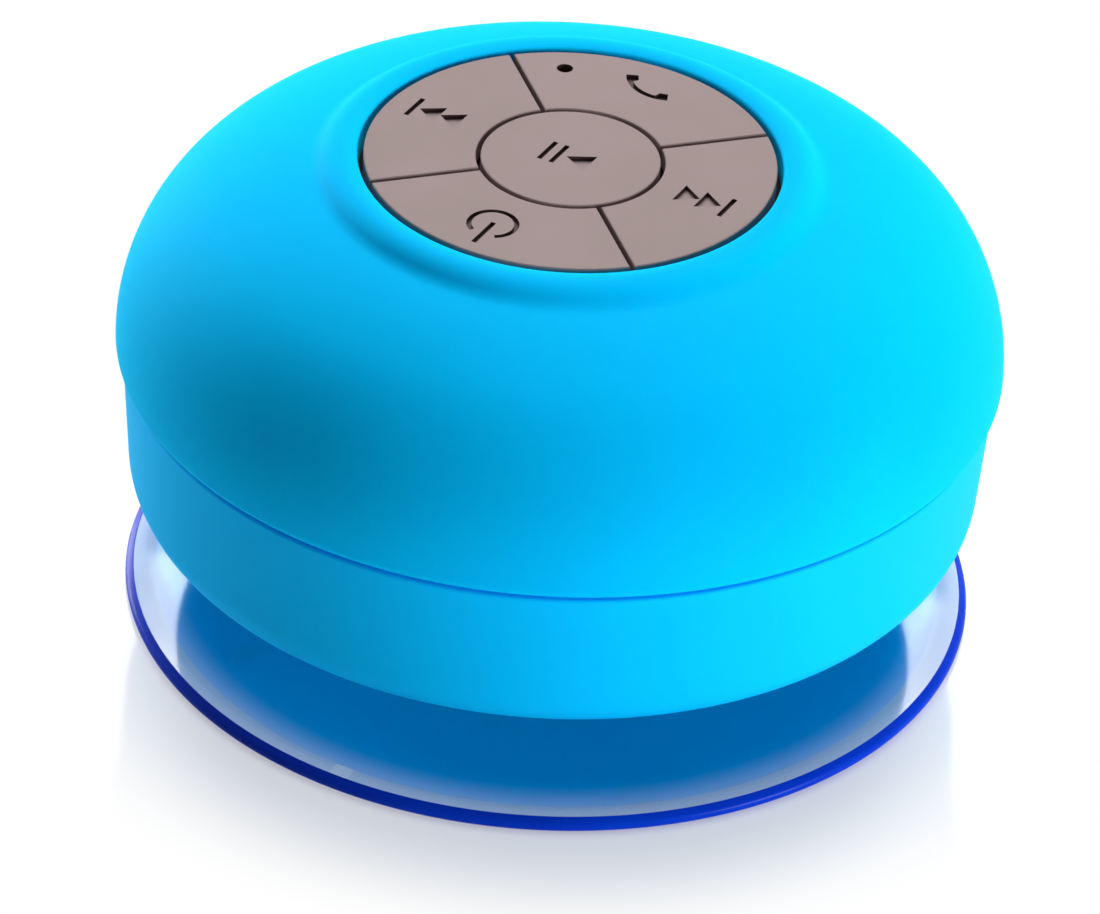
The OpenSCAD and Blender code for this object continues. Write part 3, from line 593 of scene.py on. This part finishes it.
def new_piece(name, work, materials):
    """An object at the origin from a finished bmesh in metres, with its doubles merged and faces outwards."""
    bmesh.ops.remove_doubles(work, verts=work.verts, dist=1e-7)
    bmesh.ops.recalc_face_normals(work, faces=work.faces)
    mesh = bpy.data.meshes.new(name)
    work.to_mesh(mesh)
    work.free()
    piece = bpy.data.objects.new(name, mesh)
    bpy.context.scene.collection.objects.link(piece)
    for material in materials:
        mesh.materials.append(material)
    return piece


def lathe(name, outline, materials, turns):
    """A closed outline of (radius, height) in millimetres, turned round the Z axis."""
    work = bmesh.new()
    rings = []
    for r, z in outline:
        if r < 1e-6:
            rings.append([work.verts.new((0, 0, z * MM))] * turns)
            continue
        angles = [2 * math.pi * i / turns for i in range(turns)]
        rings.append([work.verts.new((r * MM * math.cos(a), r * MM * math.sin(a), z * MM)) for a in angles])
    for lower, upper in zip(rings, rings[1:] + rings[:1]):
        for i in range(turns):
            j = (i + 1) % turns
            corners = list(dict.fromkeys([lower[i], lower[j], upper[j], upper[i]]))
            if len(corners) > 2:
                work.faces.new(corners)
    return new_piece(name, work, materials)


def loft(work, layers, end=0):
    """Adds a solid through equal outlines of (x, y) at rising heights, in millimetres.

    Its sides take the first material, and its two ends the one with the given number.
    """
    rings = [[work.verts.new((x * MM, y * MM, z * MM)) for x, y in outline] for outline, z in layers]
    count = len(rings[0])
    for lower, upper in zip(rings, rings[1:]):
        for i in range(count):
            j = (i + 1) % count
            work.faces.new((lower[i], lower[j], upper[j], upper[i]))
    for cap in (rings[0][::-1], rings[-1]):
        work.faces.new(cap).material_index = end


def bake(piece):
    """Turns a piece's modifiers into its mesh."""
    shaped = piece.evaluated_get(bpy.context.evaluated_depsgraph_get())
    mesh = bpy.data.meshes.new_from_object(shaped)
    plain = piece.data
    piece.modifiers.clear()
    piece.data = mesh
    bpy.data.meshes.remove(plain)
    mesh.name = piece.name


def combine(piece, tool, operation="DIFFERENCE"):
    """Cuts a piece with a tool, or joins them; cut faces take the tool's material."""
    step = piece.modifiers.new("combine", "BOOLEAN")
    step.operation = operation
    step.object = tool
    step.solver = "EXACT"
    step.material_mode = "TRANSFER"
    bake(piece)
    bpy.data.objects.remove(tool)


def smooth(piece, angle=32.0):
    """Smooth shading that keeps flat faces flat and edges over the angle sharp."""
    piece.data.shade_smooth()
    piece.data.set_sharp_from_angle(angle=math.radians(angle))
    step = piece.modifiers.new("even", "WEIGHTED_NORMAL")
    step.keep_sharp = True
    bake(piece)


def dress(piece, body, replaced):
    """Gives a finished piece its body, and hides the node that it stands for."""
    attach(piece, body)
    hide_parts(replaced)


# Geometry Nodes

def node_tree(name, sockets):
    """A Geometry Nodes tree with named inputs, those inputs, and its output node."""
    tree = bpy.data.node_groups.new(name, "GeometryNodeTree")
    tree.interface.new_socket("Geometry", in_out="OUTPUT", socket_type="NodeSocketGeometry")
    for label, kind in sockets:
        tree.interface.new_socket(label, in_out="INPUT", socket_type=kind)
    return tree, add_node(tree, "NodeGroupInput").outputs, add_node(tree, "NodeGroupOutput")


def end_tree(tree, geometry, finish, result):
    """Ends a tree in plain geometry with one material."""
    whole = add_node(tree, "GeometryNodeRealizeInstances", {"Geometry": geometry})
    coated = add_node(tree, "GeometryNodeSetMaterial", {
        "Geometry": whole.outputs["Geometry"], "Material": finish})
    tree.links.new(coated.outputs["Geometry"], result.inputs["Geometry"])


def run_tree(piece, tree, values):
    """Runs a tree on a piece with its inputs set, and keeps the result as a plain mesh."""
    step = piece.modifiers.new(tree.name, "NODES")
    step.node_group = tree
    for item in tree.interface.items_tree:
        if item.in_out == "INPUT" and item.name in values:
            step[item.identifier] = values[item.name]
    bake(piece)


def sound_holes_tree():
    """Rings of round holes through a plate, as many in each ring as the pitch allows.

    The drills are turned by half a side, so that no corner of a hole lines up with the plate's own corners.
    """
    tree, given, result = node_tree("sound_holes", [
        ("Plate", "NodeSocketGeometry"), ("Hole diameter", "NodeSocketFloat"), ("Pitch", "NodeSocketFloat"),
        ("First ring radius", "NodeSocketFloat"), ("Ring step", "NodeSocketFloat"),
        ("Height", "NodeSocketFloat"), ("Finish", "NodeSocketMaterial")])
    rings = add_node(tree, "GeometryNodeJoinGeometry")
    for i in range(SOUND_RINGS):
        radius = add_node(tree, "ShaderNodeMath", {
            0: given["Ring step"], 1: float(i), 2: given["First ring radius"],
        }, operation="MULTIPLY_ADD").outputs["Value"]
        girth = add_node(tree, "ShaderNodeMath", {0: radius, 1: 2 * math.pi}, operation="MULTIPLY")
        share = add_node(tree, "ShaderNodeMath", {
            0: girth.outputs["Value"], 1: given["Pitch"]}, operation="DIVIDE")
        count = add_node(tree, "FunctionNodeFloatToInt", {
            "Float": share.outputs["Value"]}, rounding_mode="FLOOR")
        ring = add_node(tree, "GeometryNodeMeshCircle", {
            "Vertices": count.outputs["Integer"], "Radius": radius})
        tree.links.new(ring.outputs["Mesh"], rings.inputs["Geometry"])
    hole_r = add_node(tree, "ShaderNodeMath", {0: given["Hole diameter"], 1: 0.5}, operation="MULTIPLY")
    drill = add_node(tree, "GeometryNodeMeshCylinder", {
        "Vertices": DRILL_SIDES, "Radius": hole_r.outputs["Value"], "Depth": DRILL_L * MM})
    lift = add_node(tree, "ShaderNodeCombineXYZ", {"Z": given["Height"]})
    raised = add_node(tree, "GeometryNodeTransform", {
        "Geometry": drill.outputs["Mesh"], "Translation": lift.outputs["Vector"],
        "Rotation": (0, 0, math.pi / DRILL_SIDES)})
    drills = add_node(tree, "GeometryNodeInstanceOnPoints", {
        "Points": rings.outputs["Geometry"], "Instance": raised.outputs["Geometry"]})
    solid = add_node(tree, "GeometryNodeRealizeInstances", {"Geometry": drills.outputs["Instances"]})
    drilled = add_node(tree, "GeometryNodeMeshBoolean", {
        "Mesh 1": given["Plate"], "Mesh 2": solid.outputs["Geometry"],
    }, operation="DIFFERENCE", solver="EXACT")
    end_tree(tree, drilled.outputs["Mesh"], given["Finish"], result)
    return tree


def screw_ring_tree():
    """Copies of one screw, evenly round the Z axis."""
    tree, given, result = node_tree("screw_ring", [
        ("Screw", "NodeSocketGeometry"), ("Ring radius", "NodeSocketFloat"), ("Screws", "NodeSocketInt"),
        ("First angle", "NodeSocketFloat"), ("Finish", "NodeSocketMaterial")])
    ring = add_node(tree, "GeometryNodeMeshCircle", {
        "Vertices": given["Screws"], "Radius": given["Ring radius"]})
    angle = add_node(tree, "ShaderNodeCombineXYZ", {"Z": given["First angle"]})
    turned = add_node(tree, "GeometryNodeTransform", {
        "Geometry": ring.outputs["Mesh"], "Rotation": angle.outputs["Vector"]})
    copies = add_node(tree, "GeometryNodeInstanceOnPoints", {
        "Points": turned.outputs["Geometry"], "Instance": given["Screw"]})
    end_tree(tree, copies.outputs["Instances"], given["Finish"], result)
    return tree


# Pieces

def rounded_box(width, height, rounding):
    """Outline of a rectangle with round corners, in the middle of the plane."""
    w, h = width / 2, height / 2
    return soften([(w, -h, rounding), (w, h, rounding), (-w, h, rounding), (-w, -h, rounding)], 8)


def dome_cover(finish):
    """The silicone cover: one smooth dome that runs through a soft hollow into the bead round the keypad."""
    # The hollow's arc touches the dome's top arc and the bead
    swell = BEAD_R + BEAD_HOLLOW_R
    reach = DOME_TOP_R + BEAD_HOLLOW_R
    apart = math.hypot(BEAD_C[0] - TOP_C[0], BEAD_C[1] - TOP_C[1])
    along = (reach ** 2 - swell ** 2 + apart ** 2) / (2 * apart)
    off = math.sqrt(reach ** 2 - along ** 2)
    ux, uz = (BEAD_C[0] - TOP_C[0]) / apart, (BEAD_C[1] - TOP_C[1]) / apart
    hollow_c = (TOP_C[0] + along * ux + off * uz, TOP_C[1] + along * uz - off * ux)
    foot = bearing(TOP_C, hollow_c)
    # The lip's rounding lies inside the bead and touches the lip's wall
    lip_r = LIP_R + LIP_BACK
    lip_c = (lip_r + LIP_ROUND,
             BEAD_C[1] + math.sqrt((BEAD_R - LIP_ROUND) ** 2 - (lip_r + LIP_ROUND - BEAD_C[0]) ** 2))
    lip = bearing(BEAD_C, lip_c)
    seat_r = TOP_C[0] + math.sqrt((DOME_TOP_R - COVER_T) ** 2 - (DECK_Z - TOP_C[1]) ** 2)
    inner_end = bearing(TOP_C, (seat_r, DECK_Z))
    outline = [(BODY_R - COVER_T, SEAM_Z)]
    outline += arc((BODY_R - EDGE_R, SEAM_Z + EDGE_R), EDGE_R, -90, 0, 6)
    outline += arc(SIDE_C, DOME_SIDE_R, 0, DOME_BLEND, 36)
    outline += arc(TOP_C, DOME_TOP_R, DOME_BLEND, foot, 16)[1:]
    first, last = bearing(hollow_c, TOP_C), bearing(hollow_c, BEAD_C)
    outline += arc(hollow_c, BEAD_HOLLOW_R, first, first + (last - first) % 360 - 360, 10)[1:]
    outline += arc(BEAD_C, BEAD_R, bearing(BEAD_C, hollow_c), lip, 20)[1:]
    outline += arc(lip_c, LIP_ROUND, lip, 180, 6)[1:]
    outline += [(lip_r, DECK_Z + MAT_T), (MAT_R + FIT, DECK_Z + MAT_T), (MAT_R + FIT, DECK_Z)]
    outline += arc(TOP_C, DOME_TOP_R - COVER_T, inner_end, DOME_BLEND, 8)
    outline += arc(SIDE_C, DOME_SIDE_R - COVER_T, DOME_BLEND, 0, 16)[1:]
    piece = lathe("dome_cover", outline, [finish["silicone_blue"]], 256)
    mouth = rounded_box(PORT_W, PORT_H, PORT_R)
    work = bmesh.new()
    loft(work, [(mouth, BODY_R / 2), (mouth, BODY_R + 2 * OVERSHOOT)])
    work.transform(Matrix.Translation((0, 0, PORT_Z * MM)) @ Matrix.Rotation(math.radians(90), 4, "X"))
    combine(piece, new_piece("port_cutter", work, [finish["silicone_blue"]]))
    smooth(piece)
    dress(piece, "housing", "silicone_cover")


def base_shell(finish):
    """The lower shell: a straight band that narrows a little, a round bottom corner and four screw holes.

    The posts and bosses inside it, which can't be seen, are left out.
    """
    corner_c = (FOOT_R - CORNER_R, BASE_Z + CORNER_R)
    mouth_r = GRILLE_R + FIT
    taper = math.degrees(math.atan((RIM_R - FOOT_R) / (SEAM_Z - corner_c[1])))
    groove_r, groove_z = RIM_R - SEAM_GROOVE_D, SEAM_Z - SEAM_GROOVE_H
    outline = [(RIM_R - BASE_WALL, SEAM_Z), (groove_r, SEAM_Z), (groove_r, groove_z)]
    outline += arc((RIM_R - SEAM_ROUND, groove_z - SEAM_ROUND), SEAM_ROUND, 90, -taper, 6)
    outline += arc(corner_c, CORNER_R, -taper, -90, 16)
    outline += arc((mouth_r + MOUTH_ROUND, BASE_Z + MOUTH_ROUND), MOUTH_ROUND, -90, -180, 4)
    outline += [(mouth_r, FLOOR_Z)]
    outline += arc(corner_c, CORNER_R - BASE_WALL, -90, -taper, 8)
    piece = lathe("base_shell", outline, [finish["shell_blue"]], 256)
    work = bmesh.new()
    for angle in POST_ANGLES:
        wall = circle(polar(POST_RING_R, angle), SCREW_HEAD_R + FIT, 40)
        loft(work, [(wall, BASE_Z - OVERSHOOT), (wall, BASE_Z + COUNTERBORE_H)])
    combine(piece, new_piece("screw_cutter", work, [finish["shell_blue"]]))
    smooth(piece)
    dress(piece, "housing", "lower_shell")


def sound_plate(finish, holes):
    """The base grille: a plate with a flange inside, the neck's bore and three rings of sound holes."""
    top = GRILLE_Z + GRILLE_T
    flange_top = FLOOR_Z + GRILLE_FLANGE_T
    bore = NECK_R + RUNNING_FIT
    outline = soften([
        (bore, GRILLE_Z, PLATE_ROUND), (GRILLE_R, GRILLE_Z, PLATE_ROUND), (GRILLE_R, FLOOR_Z, 0),
        (GRILLE_FLANGE_R, FLOOR_Z, 0), (GRILLE_FLANGE_R, flange_top, PLATE_INNER_ROUND),
        (GRILLE_FLANGE_IN, flange_top, PLATE_INNER_ROUND), (GRILLE_FLANGE_IN, top, 0),
        (bore, top, PLATE_INNER_ROUND)])
    piece = lathe("sound_plate", outline, [finish["shell_blue"]], 160)
    run_tree(piece, holes, {
        "Hole diameter": SOUND_HOLE_D * MM, "Pitch": SOUND_PITCH * MM,
        "First ring radius": SOUND_RING_R * MM, "Ring step": SOUND_RING_STEP * MM,
        "Height": GRILLE_Z * MM, "Finish": finish["shell_blue"]})
    smooth(piece)
    dress(piece, "housing", "base_grille")


def clear_cup(finish):
    """The suction cup: a thin bowl with a bead at its rim, a collar, a neck and the head that holds it."""
    hollow_r = CUP_R - CUP_RIM_T / 2 - CUP_SEAL_W
    hollow_ball = (hollow_r ** 2 + CUP_HOLLOW ** 2) / (2 * CUP_HOLLOW)
    top_h = CUP_HOLLOW + CUP_MID_T - CUP_RIM_T
    ball = (CUP_R ** 2 + top_h ** 2) / (2 * top_h)
    ball_c = (0, CUP_RIM_T + top_h - ball)
    hollow_c = (0, CUP_HOLLOW - hollow_ball)
    rim_c = (CUP_R - CUP_RIM_T / 2, CUP_RIM_T / 2)
    edge_r = CUP_R - CUP_EDGE_W
    edge_end = math.degrees(math.acos(edge_r / ball))
    join_r = COLLAR_R + COLLAR_FILLET
    join_z = ball_c[1] + math.sqrt(ball ** 2 - join_r ** 2)
    collar_z = GRILLE_Z - SEAT_GAP
    head_z = GRILLE_Z + GRILLE_T + SEAT_GAP
    outline = arc(hollow_c, hollow_ball, 90, math.degrees(math.acos(hollow_r / hollow_ball)), 24)
    outline += arc(rim_c, CUP_RIM_T / 2, -90, 60, 12)
    outline += arc(ball_c, ball, math.degrees(math.acos((CUP_R - CUP_RIM_T / 2) / ball)), edge_end, 2)[1:]
    outline += arc(ball_c, ball, edge_end, math.degrees(math.acos(join_r / ball)), 24)[1:]
    outline += arc((join_r, join_z + COLLAR_FILLET), COLLAR_FILLET, -90, -180, 8)[1:]
    outline += arc((COLLAR_R - COLLAR_ROUND, collar_z - COLLAR_ROUND), COLLAR_ROUND, 0, 90, 4)
    outline += [(NECK_R, collar_z), (NECK_R, head_z)]
    outline += arc((HEAD_R - HEAD_ROUND, head_z + HEAD_ROUND), HEAD_ROUND, -90, 0, 4)
    outline += [(HEAD_R, head_z + HEAD_H / 2), (HEAD_R - HEAD_H / 2, head_z + HEAD_H), (0, head_z + HEAD_H)]
    piece = lathe("clear_cup", outline, [finish["cup_clear"], finish["cup_edge"]], 256)
    for face in piece.data.polygons:
        if math.hypot(face.center.x, face.center.y) > edge_r * MM:
            face.material_index = 1
    smooth(piece)
    # Light goes through the real cup, so it casts no shadow
    piece.visible_shadow = False
    dress(piece, "suction_cup", "suction_cup")


def sector_outline(angle, inset):
    """Plan of an outer key, with its edges moved in by an inset."""
    gap = KEY_GAP / 2 + inset
    outer, inner = KEY_R - inset, KEY_INNER_R + inset
    wide = SECTOR_HALF - math.degrees(math.asin(gap / outer))
    narrow = SECTOR_HALF - math.degrees(math.asin(gap / inner))
    outside = arc((0, 0), outer, angle - wide, angle + wide, 40)
    inside = arc((0, 0), inner, angle + narrow, angle - narrow, 24)
    return outside + inside


def round_outline(inset):
    """Plan of the centre key, with its edge moved in by an inset."""
    return circle((0, 0), PLAY_R - inset, 96)


def key_solid(name, plan, middle, finish):
    """A key's cap with a rounded upper edge, and its stem."""
    layers = [(plan(0), KEY_Z)]
    for turn in (0, 30, 60, 90):
        inset = KEY_ROUND * (1 - math.cos(math.radians(turn)))
        layers.append((plan(inset), KEY_TOP_Z - KEY_ROUND + KEY_ROUND * math.sin(math.radians(turn))))
    work = bmesh.new()
    loft(work, layers)
    piece = new_piece(name, work, [finish["key_grey"]])
    stem = circle(middle, STEM_R, 40)
    work = bmesh.new()
    loft(work, [(stem, KEY_Z - STEM_L), (stem, KEY_Z + OVERSHOOT)])
    combine(piece, new_piece("stem", work, [finish["key_grey"]]), "UNION")
    return piece


def moved(outline, middle, turn=0.0):
    """An outline turned by degrees and moved to a place."""
    c, s = math.cos(math.radians(turn)), math.sin(math.radians(turn))
    return [(middle[0] + c * x - s * y, middle[1] + s * x + c * y) for x, y in outline]


def bar(x, low, high):
    """A thin upright stroke."""
    w = SIGN_STROKE / 2
    return [(x - w, low), (x + w, low), (x + w, high), (x - w, high)]


def arrow(x, length):
    """A triangle with its base at x; a positive length points it to +X."""
    corners = [(x, -ARROW_HALF_W), (x + length, 0), (x, ARROW_HALF_W)]
    return corners if length > 0 else corners[::-1]


def power_ring():
    """A ring that is open towards +Y."""
    first, last = 90 + POWER_OPEN, 450 - POWER_OPEN
    outside = arc((0, 0), POWER_RING_R, first, last, 48)
    inside = arc((0, 0), POWER_RING_R - SIGN_STROKE, last, first, 48)
    return outside + inside


def handset():
    """A telephone receiver: a slim curved grip with two thicker ends."""
    steps = 48
    outer = arc((0, -HANDSET_R), HANDSET_R, 90 - HANDSET_HALF, 90 + HANDSET_HALF, steps)
    inner = []
    for i in range(steps + 1):
        angle = 90 + HANDSET_HALF - 2 * HANDSET_HALF * i / steps
        swell = min(1.0, max(0.0, (abs(angle - 90) - HANDSET_END_ANGLE) / HANDSET_END_RAMP))
        depth = HANDSET_GRIP_T + HANDSET_END_T * swell * swell * (3 - 2 * swell)
        x, y = polar(HANDSET_R - depth, angle)
        inner.append((x, y - HANDSET_R))
    return outer + inner


def engrave(piece, strokes, shapes, finish, hole=None):
    """Sinks a key's sign: strokes are dark all over, shapes keep the key's colour on their floor; the dark is
    painted shade on the sunk walls.
    """
    work = bmesh.new()
    for outline in strokes:
        loft(work, [(outline, KEY_TOP_Z - SIGN_DEPTH), (outline, KEY_TOP_Z + OVERSHOOT)])
    for outline in shapes:
        loft(work, [(outline, KEY_TOP_Z - SIGN_DEPTH), (outline, KEY_TOP_Z + OVERSHOOT)], 1)
    if hole:
        loft(work, [(hole, KEY_Z - OVERSHOOT), (hole, KEY_TOP_Z + OVERSHOOT)])
    combine(piece, new_piece("sign_cutter", work, [finish["sign_painted_shade"], finish["key_grey"]]))
    smooth(piece, angle=25.0)


def skip_sign(piece, place, way, finish):
    """Sinks two arrows and a bar, which point along +X or, with way -1, along -X."""
    middle = polar(*place)
    stroke = moved(bar(way * SKIP_BAR_X, -SIGN_HALF_H, SIGN_HALF_H), middle)
    first, second = SKIP_ARROWS_X
    starts = (-way * first, -way * second)
    arrows = [moved(arrow(x, way * SKIP_ARROW_L), middle) for x in starts]
    engrave(piece, [stroke], arrows, finish)


def keys(finish):
    """Five keys of the keypad with their sunk signs."""
    made = {}
    for name, angle in KEY_ANGLES.items():
        plan = partial(sector_outline, angle)
        made[name] = key_solid(name + "_cap", plan, polar(STEM_RING_R, angle), finish)
    made["play_key"] = key_solid("play_key_cap", round_outline, (0, 0), finish)
    power = polar(*POWER_PLACE)
    engrave(made["power_key"], [moved(power_ring(), power), moved(bar(0, *POWER_BAR), power)], [], finish)
    skip_sign(made["next_key"], NEXT_PLACE, 1, finish)
    skip_sign(made["previous_key"], PREVIOUS_PLACE, -1, finish)
    receiver = moved(handset(), polar(*PHONE_PLACE), PHONE_TURN)
    mouth = circle(polar(MIC_R, MIC_ANGLE), MIC_HOLE_R, 32)
    engrave(made["phone_key"], [receiver], [], finish, mouth)
    bars = [bar(x, -SIGN_HALF_H, SIGN_HALF_H) for x in PLAY_BARS_X]
    engrave(made["play_key"], bars, [arrow(PLAY_ARROW_X, PLAY_ARROW_L)], finish)
    for name, piece in made.items():
        dress(piece, name, name)


def base_screws(finish, ring):
    """Pan-head screws with a cross recess, one in each post."""
    seat = BASE_Z + COUNTERBORE_H
    head = seat - SCREW_HEAD_H
    outline = [(0, head)]
    outline += arc((SCREW_HEAD_R - SCREW_EDGE_R, head + SCREW_EDGE_R), SCREW_EDGE_R, -90, 0, 5)
    outline += [(SCREW_HEAD_R, seat), (SCREW_R, seat)]
    outline += [(SCREW_R, seat + SCREW_L - SCREW_TIP_L), (0, seat + SCREW_L)]
    piece = lathe("base_screws", outline, [finish["bare_steel"]], 32)
    arm = [(CROSS_R, -CROSS_HALF_W), (CROSS_R, CROSS_HALF_W), (CROSS_HALF_W, CROSS_HALF_W)]
    cross = []
    for i in range(4):
        cross += moved(arm, (0, 0), 90 * i)
    small = [(CROSS_TAPER * x, CROSS_TAPER * y) for x, y in cross]
    work = bmesh.new()
    loft(work, [(cross, head - OVERSHOOT / 2), (cross, head), (small, seat - CROSS_FLOOR)])
    combine(piece, new_piece("cross_cutter", work, [finish["bare_steel"]]))
    run_tree(piece, ring, {
        "Ring radius": POST_RING_R * MM, "Screws": len(POST_ANGLES),
        "First angle": math.radians(POST_ANGLES[0]), "Finish": finish["bare_steel"]})
    smooth(piece)
    dress(piece, "housing", "housing_screws")


def dress_nodes(finish):
    """Every node takes the material of its slot, which those that keep their CAD shape show."""
    for part in frame["record"]["subparts"]:
        mesh = frame["nodes"][part["node"]].data
        mesh.materials.clear()
        mesh.materials.append(finish[part["material_slot"]])


# Surroundings

def seen_rays(tree):
    """1 for rays that the eye sees, straight, mirrored or through the cup, and 0 for others."""
    path = add_node(tree, "ShaderNodeLightPath").outputs
    seen = add_node(tree, "ShaderNodeMath", {
        0: path["Is Camera Ray"], 1: path["Is Glossy Ray"]}, operation="MAXIMUM")
    seen = add_node(tree, "ShaderNodeMath", {
        0: seen.outputs["Value"], 1: path["Is Transmission Ray"]}, operation="MAXIMUM")
    return seen.outputs["Value"]


def white_table():
    """A table of white glossy acrylic, with a faint drift over some 20 mm.

    To the eye a share of it is pure white: a tenth under the cup, which keeps the shadow there, about half
    just past the cup's rim, and all of it from 60 mm out.
    """
    work = bmesh.new()
    bmesh.ops.create_grid(work, x_segments=1, y_segments=1, size=3.0)
    table = new_piece("table", work, [])
    material, tree, place = new_material("white_acrylic_table")
    radius = add_node(tree, "ShaderNodeVectorMath", {0: place}, operation="LENGTH").outputs["Value"]
    rim = add_node(tree, "ShaderNodeMapRange", {
        "Value": radius, "From Min": 40.5 * MM, "From Max": 42.5 * MM, "To Min": 0.1, "To Max": 0.48})
    fade = add_node(tree, "ShaderNodeMapRange", {
        "Value": radius, "From Min": 41 * MM, "From Max": 60 * MM, "To Max": 0.52,
    }, interpolation_type="SMOOTHSTEP")
    glow = add_node(tree, "ShaderNodeMath", {
        0: rim.outputs["Result"], 1: fade.outputs["Result"]}, operation="ADD")
    share = add_node(tree, "ShaderNodeMath", {
        0: seen_rays(tree), 1: glow.outputs["Value"]}, operation="MULTIPLY")
    drift = add_node(tree, "ShaderNodeTexNoise", {"Vector": place, "Scale": 1 / (20 * MM)}).outputs["Fac"]
    plain = shade(tree, drift, ((0.3, "#F4F5F8"), (0.7, "#F8F8FA")), drift, (0.08, 0.12), {"IOR": 1.49})
    white = add_node(tree, "ShaderNodeEmission", {"Color": (1, 1, 1, 1), "Strength": 1.0})
    mixed = add_node(tree, "ShaderNodeMixShader", {
        0: share.outputs["Value"], 1: plain, 2: white.outputs["Emission"]})
    add_node(tree, "ShaderNodeOutputMaterial", {"Surface": mixed.outputs["Shader"]})
    table.data.materials.append(material)


def studio_world():
    """A white studio to the eye, which lights the object only faintly."""
    world = bpy.data.worlds.new("studio")
    bpy.context.scene.world = world
    world.use_nodes = True
    tree = world.node_tree
    tree.nodes.clear()
    ambient = add_node(tree, "ShaderNodeBackground", {"Color": linear("#F6F8FF"), "Strength": 0.08})
    white = add_node(tree, "ShaderNodeBackground", {"Color": (1, 1, 1, 1), "Strength": 1.0})
    mixed = add_node(tree, "ShaderNodeMixShader", {
        0: seen_rays(tree), 1: ambient.outputs["Background"], 2: white.outputs["Background"]})
    add_node(tree, "ShaderNodeOutputWorld", {"Surface": mixed.outputs["Shader"]})


def main():
    """Builds the whole scene."""
    bpy.context.scene.view_settings.view_transform = "Standard"
    add_camera()
    add_lamps()
    white_table()
    studio_world()
    finish = make_materials()
    dress_nodes(finish)
    dome_cover(finish)
    base_shell(finish)
    sound_plate(finish, sound_holes_tree())
    clear_cup(finish)
    keys(finish)
    base_screws(finish, screw_ring_tree())


main()
